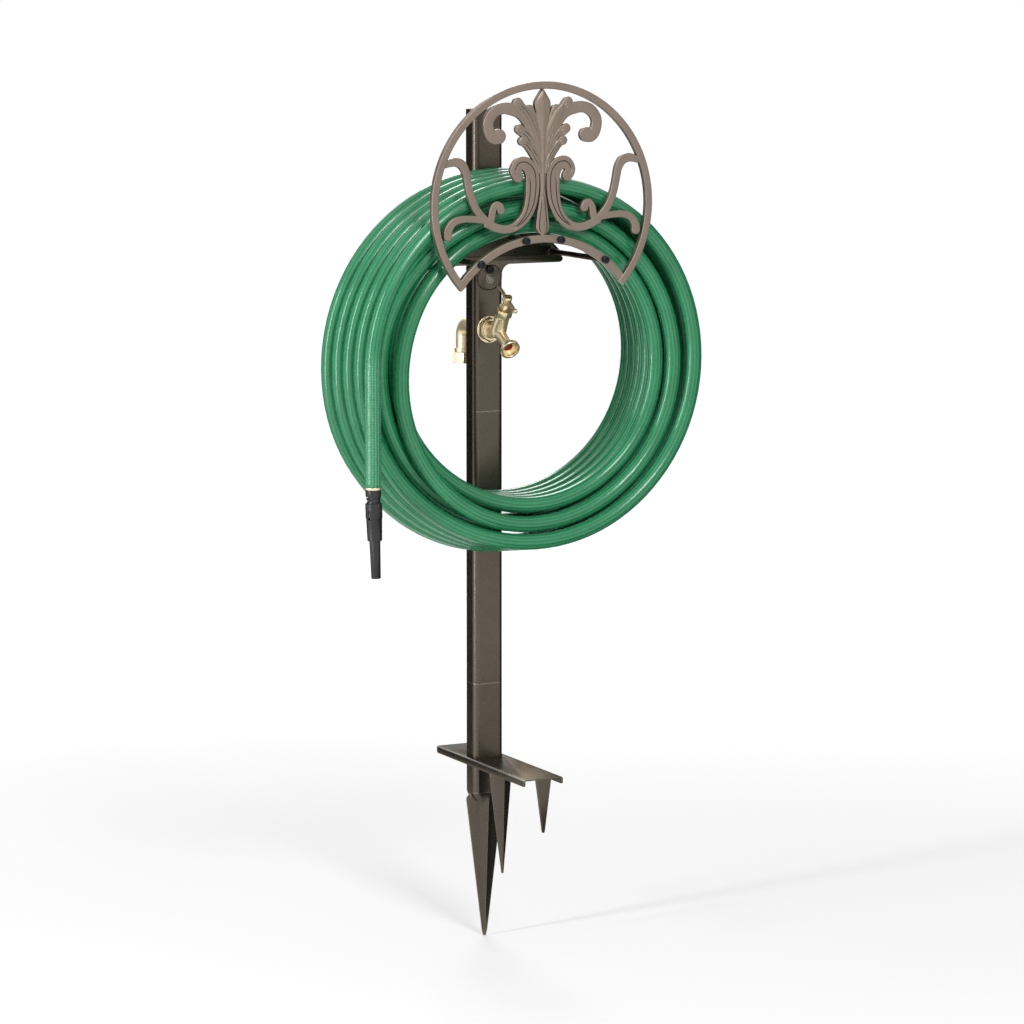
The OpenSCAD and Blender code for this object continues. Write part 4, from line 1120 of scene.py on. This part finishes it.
# %% [markdown]
# The outlet ends in a collar that a hose screws over. It is cut on a lathe, so it is turned
# as one profile that goes from the seat of the washer round the lip and back to the tube.
# The washer lies in its pocket.

# %% Outlet collar and its washer
MOUTH_R, MOUTH_DEPTH = COLLAR_R - 3.6, 8


def tap_outlet():
    r, h = COLLAR_R, OUTLET
    floor_h = h - MOUTH_DEPTH
    collar = turned(
        [(0, floor_h - 8), (6.4, floor_h - 8), (6.4, floor_h), (MOUTH_R, floor_h),
         (MOUTH_R, h - 0.5), (MOUTH_R + 0.5, h), (r - 0.6, h), (r, h - 0.7), (r, h - 5.2),
         (r - 0.5, h - 6), (r - 3.6, h - 7.6), (TUBE + 1, h - 9.2), (TUBE + 0.1, h - 11),
         (TUBE + 0.05, h - 13), (0, h - 17)],
        sides=64, matrix=outlet_frame,
    )
    washer = turned(
        [(0.7, floor_h - 3), (6.3, floor_h - 3), (6.3, floor_h - 0.6), (5.7, floor_h - 0.1),
         (1.3, floor_h - 0.1), (0.7, floor_h - 0.7), (0.7, floor_h - 3)],
        sides=40, matrix=outlet_frame,
    )
    settle(collar, "outlet_collar", brass_cut, angle=28)
    settle(washer, "outlet_seal", red_rubber, ["outlet_washer"])


tap_outlet()

# %% [markdown]
# The bonnet is a short hexagonal bar. Its top is hollowed as a cone, which makes the wavy
# rim where the cone meets the six flats, and a gland nut stands in the hollow round the
# stem.

# %% Bonnet with its cup
BONNET_FLATS, BONNET_TURN = 21.6, 56


def bonnet():
    height = BONNET_TOP - BONNET_LOW
    hexagon = start("cylinder", vertices=6, radius=BONNET_FLATS / 2 / math.cos(math.pi / 6) * MM,
                    depth=height * MM, location=(0, 0, (BONNET_LOW + height / 2) * MM),
                    rotation=(0, 0, math.radians(BONNET_TURN)))
    cup = turned([(0, BONNET_TOP - 8), (4.9, BONNET_TOP - 8), (5.4, BONNET_TOP - 7),
                  (11.6, BONNET_TOP - 0.4), (14, BONNET_TOP + 2), (0, BONNET_TOP + 2)])
    cut(hexagon, cup)
    soften(hexagon, 0.35 * MM)
    move(hexagon, tap_frame)
    settle(hexagon, "bonnet_hexagon", brass_cut, ["tap_bonnet"])
    gland = turned(
        [(0, BONNET_TOP - 8.5), (5.5, BONNET_TOP - 8.5), (5.4, BONNET_TOP - 3),
         (4.7, BONNET_TOP + 5.4), (4.4, BONNET_TOP + 5.8), (0, BONNET_TOP + 5.8)],
        sides=32, matrix=tap_frame,
    )
    settle(gland, "gland_nut", brass_cut, ["packing_nut"])


bonnet()

# %% [markdown]
# The handle is a small casting too: a waisted hub with a rim round its screw, and a tapered
# bar with a knob at each end. Both are turned, joined and given one skin like the body. It
# rides on the handle's own joint.

# %% Handle of the tap
HANDLE_HALF = 31.5


def handle():
    hub = turned(
        [(0, HUB - 9), (4, HUB - 9), (4.2, HUB - 7.2), (5.4, HUB - 5), (6.5, HUB - 2.4),
         (6.9, HUB), (6.7, HUB + 2.2), (6.3, HUB + 4.4), (5.9, HUB + 4.9), (5.6, HUB + 4.5),
         (5.5, HUB + 3.8), (0, HUB + 3.8)],
        matrix=tap_frame,
    )
    end = HANDLE_HALF
    bar = turned(
        [(0, -end), (1.4, -end + 0.3), (2.2, -end + 1.2), (2.4, -end + 3), (2.6, -8), (2.7, 8),
         (2.4, end - 8), (2.5, end - 6.6), (3.2, end - 5), (3.4, end - 3.2), (3.1, end - 1.4),
         (2, end - 0.3), (0, end)],
        sides=24, matrix=tap_frame @ facing_front(0, HUB * MM),
    )
    piece = join(hub, bar)
    modify(piece, "REMESH", mode="VOXEL", voxel_size=0.4 * MM)
    modify(piece, "SMOOTH", factor=0.5, iterations=5)
    settle(piece, "handle_casting", brass_cast, ["tap_handle"], body="handle", angle=60)


handle()

# %% [markdown]
# The nozzle is moulded in satin black plastic. Its collar has two slanted slits under the
# brass ferrule, the sleeve has a small drain hole in a recess near one edge, and the barrel
# tapers to its mouth. The sleeve's recess and hole are cut out of the turned shape.

# %% Nozzle
collar_low, collar_high = corners("nozzle_collar")
body_low, body_high = corners("nozzle_body")
barrel_low, barrel_high = corners("nozzle_barrel")
twist = next(j for j in frame["joints"] if j["name"] == "nozzle_twist")
TWIST = Vector(twist["pos_m"])
hang = Vector((0, 0, 1)).rotation_difference(Vector(twist["axis"])).to_matrix().to_4x4()
VIEW_SIDE = -math.radians(26)
SLITS, SLIT, SLIT_FLOOR, SLIT_TILT = (0.7, 5.4), 2, 7.9, math.radians(9)
RECESS, RECESS_SIZE, RECESS_TILT = (-6.9, -9.6, -15), (2.6, 2.2, 6), math.radians(14)
DRAIN, DRAIN_R, DRAIN_TURN = (-6.4, 0, -19), 1.5, math.radians(98)
NOZZLE = Matrix.Translation(TWIST) @ hang @ Matrix.Rotation(VIEW_SIDE, 4, "Z")


def level(corner):
    """Height along the leaning nozzle, with 0 at the twist joint's place."""
    return (corner.z - TWIST.z) / MM


def nozzle_collar():
    top, seat, foot = level(collar_high), level(body_high), level(collar_low)
    collar = turned(
        [(0, foot), (6.6, foot), (6.6, seat - 1), (9.2, seat - 1), (9.2, seat + 3), (9.6, seat + 6),
         (9.8, seat + 8), (10.5, seat + 10.4), (10.6, top - 1), (10.3, top), (0, top)],
    )
    for low in SLITS:
        high = low + SLIT
        slit = turned([(SLIT_FLOOR, low), (14, low), (14, high), (SLIT_FLOOR, high),
                       (SLIT_FLOOR, low)])
        move(slit, Matrix.Translation((0, 0, seat * MM)) @ Matrix.Rotation(SLIT_TILT, 4, "Y"))
        cut(collar, slit)
    soften(collar, 0.25 * MM)
    move(collar, NOZZLE)
    settle(collar, "nozzle_neck", black_plastic, ["nozzle_collar"])


def nozzle_sleeve():
    low, high = level(body_low), level(body_high)
    sleeve = turned(
        [(7.78, low + 0.6), (8.4, low), (9.5, low), (9.9, low + 0.6), (10.7, high - 21),
         (11.0, high - 20.4), (11.0, high - 19.6), (11.25, high - 19), (11.3, high - 1),
         (10.8, high - 0.2), (8.6, high - 0.2), (8.4, high - 1), (8.4, low + 10), (7.78, low + 9.4),
         (7.78, low + 0.6)],
        sides=64,
    )
    top = Matrix.Translation((0, 0, high * MM))
    recess = start("uv_sphere", segments=24, ring_count=12, radius=1,
                   scale=Vector(RECESS_SIZE) * MM)
    move(recess, top @ Matrix.Translation(Vector(RECESS) * MM)
         @ Matrix.Rotation(RECESS_TILT, 4, "Y"))
    cut(sleeve, recess)
    drain = start("cylinder", vertices=24, radius=DRAIN_R * MM, depth=60 * MM, scale=(1, 1.4, 1),
                  rotation=(DRAIN_TURN, 0, 0))
    move(drain, top @ Matrix.Translation(Vector(DRAIN) * MM))
    cut(sleeve, drain)
    soften(sleeve, 0.2 * MM, segments=1, limit=40)
    move(sleeve, NOZZLE)
    settle(sleeve, "nozzle_sleeve", black_plastic, ["nozzle_body"])


def nozzle_barrel():
    low, high = level(barrel_low), level(barrel_high)
    shoulder = level(body_low)
    barrel = turned(
        [(3.9, low + 6), (4.3, low + 1), (5.2, low), (6.0, low), (6.4, low + 0.8),
         (7.2, shoulder - 8), (7.65, shoulder + 2), (7.65, high - 0.4), (7.2, high),
         (3.9, high), (3.9, low + 6)],
        matrix=NOZZLE,
    )
    settle(barrel, "barrel", black_plastic, ["nozzle_barrel"], body="nozzle_tip")


nozzle_collar()
nozzle_sleeve()
nozzle_barrel()

# %% [markdown]
# The rods of the hanger are bent bars. A curve with a round bevel follows the bends without
# the seams that separate cylinders would leave. Each corner of the line is replaced by a
# few points of a smooth arc that starts and ends where a real bend of that radius would.

# %% Hanger rods
ROD = 7.5
ROD_BEND, ROD_BEND_STEPS = 12 * MM, 6
KINK_FRONT, KINK_BACK = 18 * MM, 9 * MM


def bar(points, radius):
    """A round bar through points in metres, with its corners rounded."""
    line = [points[0]]
    for a, b, c in zip(points, points[1:], points[2:]):
        back, ahead = (a - b).normalized(), (c - b).normalized()
        reach = ROD_BEND * math.tan((math.pi - back.angle(ahead)) / 2)
        first, last = b + back * reach, b + ahead * reach
        for i in range(ROD_BEND_STEPS + 1):
            t = i / ROD_BEND_STEPS
            line.append(first.lerp(b, t).lerp(b.lerp(last, t), t))
    line.append(points[-1])
    curve = bpy.data.curves.new("bar", "CURVE")
    curve.dimensions = "3D"
    curve.bevel_depth = radius
    curve.bevel_resolution = 5
    curve.use_fill_caps = True
    spline = curve.splines.new("POLY")
    spline.points.add(len(line) - 1)
    for point, place in zip(spline.points, line):
        point.co = (*place, 1)
    choose(linked(curve, "bar"))
    bpy.ops.object.convert(target="MESH")
    piece = bpy.context.object
    edit(piece)
    merge_ends()
    close()
    soften(piece, 0.4 * MM, limit=50)
    return piece


def rods(node, name, kink):
    low, high = corners(node)
    r = ROD / 2 * MM
    x, z = high.x - r, low.z + r
    rise = (high.z - low.z) - 2 * r if kink else 0
    pieces = []
    for side in (-1, 1):
        line = [Vector((side * x, low.y, z)), Vector((side * x, high.y, z + rise))]
        if kink:
            line[1:1] = [line[0] + Vector((0, KINK_FRONT, 0)), line[1] - Vector((0, KINK_BACK, 0))]
        pieces.append(bar(line, r))
    settle(join(*pieces), name, bronze, [node])


rods("inner_rods", "inner_bars", True)
rods("outer_rods", "outer_bars", False)

# %% [markdown]
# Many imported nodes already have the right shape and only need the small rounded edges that
# real parts have. Each gets a merged copy of its mesh with a bevel on every sharp edge, and
# the copy stands for the node.

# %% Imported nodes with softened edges
def dressed(node, name, finish, slot, width, body="stand"):
    """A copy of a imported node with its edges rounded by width, in millimetres."""
    piece = frame["nodes"][node].copy()
    piece.data = piece.data.copy()
    piece.parent = None
    piece.matrix_world = Matrix()
    bpy.context.scene.collection.objects.link(piece)
    edit(piece)
    bpy.ops.mesh.select_all(action="SELECT")
    bpy.ops.mesh.remove_doubles(threshold=0.002 * MM)
    bpy.ops.mesh.dissolve_limited(angle_limit=math.radians(0.6))
    close()
    soften(piece, width * MM)
    settle(piece, name, finish, [node], body)


for row in (
    ("post_cap", "cap_lid", bronze, "bronze_paint", 1.2),
    ("hanger_plate", "pressed_plate", bronze, "bronze_paint", 0.9),
    ("front_washer", "front_plate_washer", brass_cut, "brass", 0.35),
    ("front_nut", "front_lock_nut", brass_cut, "brass", 0.35),
    ("rear_washer", "rear_plate_washer", brass_cut, "brass", 0.35),
    ("rear_nut", "rear_lock_nut", brass_cut, "brass", 0.35),
    ("inlet_elbow", "elbow_casting", brass_cast, "brass", 1.0),
    ("bracket_rivet", "stepped_rivet", bare_rivet, "bronze_paint", 0.5),
    ("bracket_nut", "bolt_nut", black_steel, "black_steel", 0.3),
    ("tail_ferrule", "tail_ring", brass_cut, "brass", 0.4),
    ("inner_end_ferrule", "end_ring", brass_cut, "brass", 0.4),
    ("handle_screw", "hub_screw", screw_brass_shaded, "brass", 0.25, "handle"),
    ("inlet_nut", "swivel_nut", brass_cut, "brass", 0.4, "supply_nut"),
    ("inner_end_nut", "end_swivel_nut", brass_cut, "brass", 0.5, "hose_nut"),
):
    dressed(*row)

# %% [markdown]
# Two small things are added beside these nodes: a low bead pressed round the end of the
# bracket's tab, and a thin dark brown ring whose edge shows round the tap's hexagonal nut,
# which is painted shade for the dark line between the nut and its washer. Both are turned,
# the ring with six sides that follow the nut's corners.

# %% Bead of the tab and shade ring of the nut
TAB_Z = 673


def tab_bead():
    front = corners("bracket_rivet")[1].y
    settle(
        turned(
            [(16.3, -0.2), (18, -0.2), (17.9, 0.3), (17.5, 0.7), (17, 0.85), (16.6, 0.6),
             (16.3, -0.2)],
            sides=72, matrix=facing_front(front, TAB_Z * MM),
        ),
        "tab_bead", bronze,
    )


# Painted shade: a dark brown ring behind the nut, for the shadow line between it and its washer.
def nut_shade_ring():
    low, high = corners("front_nut")
    middle = (low + high) / 2
    corner = max(
        (vertex.co - middle for vertex in frame["nodes"]["front_nut"].data.vertices),
        key=lambda d: d.x * d.x + d.z * d.z,
    )
    radius = math.hypot(corner.x, corner.z) / MM
    turn = Matrix.Rotation(math.atan2(corner.z, corner.x), 4, "Z")
    settle(
        turned(
            [(radius - 0.1, -0.1), (radius + 1.1, -0.1), (radius + 1.1, 0.4), (radius - 0.1, 0.5),
             (radius - 0.1, -0.1)],
            sides=6, matrix=facing_front(high.y, TAP.z) @ turn,
        ),
        "nut_shade_ring", shade_ring_brown, angle=20,
    )


tab_bead()
nut_shade_ring()

# %% [markdown]
# The screws of the casting and the bracket's bolt are blacked socket screws. One head is
# turned, its hexagonal socket is cut, and it is copied to each place.

# %% Socket screws
SCREW_R, SCREW_H, SCREW_SHANK_R, SCREW_SHANK = 5, 5, 2.4, 10
SCREW_PLACES = (-93, -26, 26, 93)
BOLT_H, BOLT_SHANK_R = 3.6, 3
SOCKET = 0.56


def socket_screw(radius, height, shank_r, shank):
    head = turned(
        [(0, -shank), (shank_r, -shank), (shank_r, 0), (radius - 0.2, 0), (radius, 0.3),
         (radius, height - 0.9), (radius - 0.3, height - 0.3), (radius - 0.9, height), (0, height)],
        sides=36,
    )
    socket = start("cylinder", vertices=6, radius=radius * SOCKET * MM, depth=height * MM,
                   location=(0, 0, height * MM))
    cut(head, socket)
    soften(head, 0.2 * MM, limit=50)
    return head


def face_screws():
    screws = []
    for x in SCREW_PLACES:
        z = BAR_CENTRE + math.sqrt(BAR_R**2 - x * x)
        screw = socket_screw(SCREW_R, SCREW_H, SCREW_SHANK_R, SCREW_SHANK)
        move(screw, facing_front(-CAST_FRONT * MM, z * MM, x * MM))
        screws.append(screw)
    settle(join(*screws), "casting_screws", black_steel, ["face_screws"])


def bracket_bolt():
    low, high = corners("bracket_bolt")
    length = (high.y - low.y) / MM
    bolt = socket_screw((high.x - low.x) / 2 / MM, BOLT_H, BOLT_SHANK_R, length - BOLT_H)
    move(bolt, facing_front(low.y + BOLT_H * MM, (low.z + high.z) / 2))
    settle(bolt, "bracket_screw", black_steel, ["bracket_bolt"])


face_screws()
bracket_bolt()

# %% [markdown]
# The stage is a pale floor that the tip of the spike touches. The camera and every
# reflection see the world as white and the floor as nearly so, while the world's light on
# the object stays lower, so that its colours don't wash out.

# %% Floor and world
FLOOR_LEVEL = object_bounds()[0][2]
FLOOR_SIZE, FLOOR_GREY = 40, 0.8
NEAR_LIFT, FAR_LIFT = 0.32, 0.73
NEAR, FAR = 0.5, 3.5
WORLD_LIGHT = 0.36

floor = start("plane", size=FLOOR_SIZE)
floor.name = "floor"
floor.location.z = FLOOR_LEVEL


def seen_directly(nodes, links):
    """A value of 1 for rays from the camera, a reflection or a clear surface."""
    path = nodes.new("ShaderNodeLightPath")
    total = path.outputs["Is Camera Ray"]
    for name in ("Is Glossy Ray", "Is Transmission Ray"):
        larger = nodes.new("ShaderNodeMath")
        larger.operation = "MAXIMUM"
        links.new(total, larger.inputs[0])
        links.new(path.outputs[name], larger.inputs[1])
        total = larger.outputs[0]
    return total


def white_floor():
    """Lit like paper, with a little light of its own where it is seen directly. That light
    grows with the distance, so the far floor is white and the near one keeps the shadow."""
    finish = Finish("white_floor")
    distance = finish.add("VectorMath", {0: finish.place()}, operation="LENGTH").outputs["Value"]
    lift = finish.add(
        "MapRange", {"Value": distance, "From Min": NEAR, "From Max": FAR,
                     "To Min": NEAR_LIFT, "To Max": FAR_LIFT},
        interpolation_type="SMOOTHSTEP",
    )
    glow = finish.calc("MULTIPLY", seen_directly(finish.nodes, finish.links), lift)
    finish.set(Base_Color=[FLOOR_GREY] * 3, Roughness=1, Specular_IOR_Level=0,
               Emission_Color=(1, 1, 1), Emission_Strength=glow)
    return finish.material


floor.data.materials.append(white_floor())

world = bpy.data.worlds.new("studio")
bpy.context.scene.world = world
world.use_nodes = True
nodes, links = world.node_tree.nodes, world.node_tree.links
strength = nodes.new("ShaderNodeMapRange")
strength.inputs["To Min"].default_value = WORLD_LIGHT
strength.inputs["To Max"].default_value = 1
links.new(seen_directly(nodes, links), strength.inputs["Value"])
surround = nodes["Background"]
surround.inputs["Color"].default_value = (1, 1, 1, 1)
links.new(strength.outputs["Result"], surround.inputs["Strength"])
print("floor at", round(FLOOR_LEVEL, 4), "m")

# %% [markdown]
# Bright metal in a white room shows no form. Photographers stand dark cards beside it, out
# of the picture, so that its sides mirror something dark. Two of these cards stand upright
# and one lies on the floor, and all three are seen by reflections alone.

# %% Dark cards
def dark_card(name, place, size, grey=0.02, flat=False):
    """A card that faces the post, or lies flat."""
    card = start("plane", size=1)
    card.name = name
    card.location = place
    card.scale = (*size, 1)
    if not flat:
        toward = Vector((0, 0, place[2])) - Vector(place)
        card.rotation_euler = toward.to_track_quat("Z", "Y").to_euler()
    card.visible_camera = card.visible_diffuse = False
    card.visible_shadow = card.visible_transmission = False
    finish = Finish(name)
    finish.set(Base_Color=[grey] * 3, Roughness=1)
    card.data.materials.append(finish.material)


dark_card("card_right", (0.9, 0.15, 0.5), (1.7, 1.5))
dark_card("card_rear", (-0.5, 0.95, 0.5), (0.9, 1.5))
dark_card("card_floor", (0.62, -0.25, FLOOR_LEVEL + MM), (1.1, 1.5), 0.1, flat=True)

# %% [markdown]
# Three soft boxes light the object. The key is a tall, narrow strip on the left, which
# draws the long bright line down the post and each loop of the hose; a broad one in front
# fills the casting, and one behind lights the rims.

# %% Lamps
AIM = Vector((0, 0, 0.5))


def softbox(name, place, size, power):
    bpy.ops.object.light_add(type="AREA", location=place)
    lamp = bpy.context.object
    lamp.name = name
    lamp.data.shape = "RECTANGLE"
    lamp.data.size, lamp.data.size_y = size
    lamp.data.energy = power
    lamp.rotation_euler = (AIM - Vector(place)).to_track_quat("-Z", "Y").to_euler()
    print("lamp", name, power, "W")


softbox("key", (-2.9, -0.6, 1.0), (0.27, 2.3), 48)
softbox("front", (-0.35, -3.4, 2.3), (0.8, 1.2), 54)
softbox("back", (0.9, 2.4, 2.3), (1.2, 1.0), 24)

# %% [markdown]
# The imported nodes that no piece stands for, such as the post's tubes and the stem, keep
# their own meshes. Each gets the finish that its slot in the record names.

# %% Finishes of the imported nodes
NODE_FINISH = {
    "bronze_paint": bronze,
    "taupe_paint": taupe,
    "brass": brass_cut,
    "black_steel": black_steel,
    "green_hose": vinyl,
    "black_plastic": black_plastic,
    "red_rubber": red_rubber,
}
for part in frame["record"]["subparts"]:
    cad = frame["nodes"][part["node"]]
    cad.data.materials.clear()
    cad.data.materials.append(NODE_FINISH[part["material_slot"]])
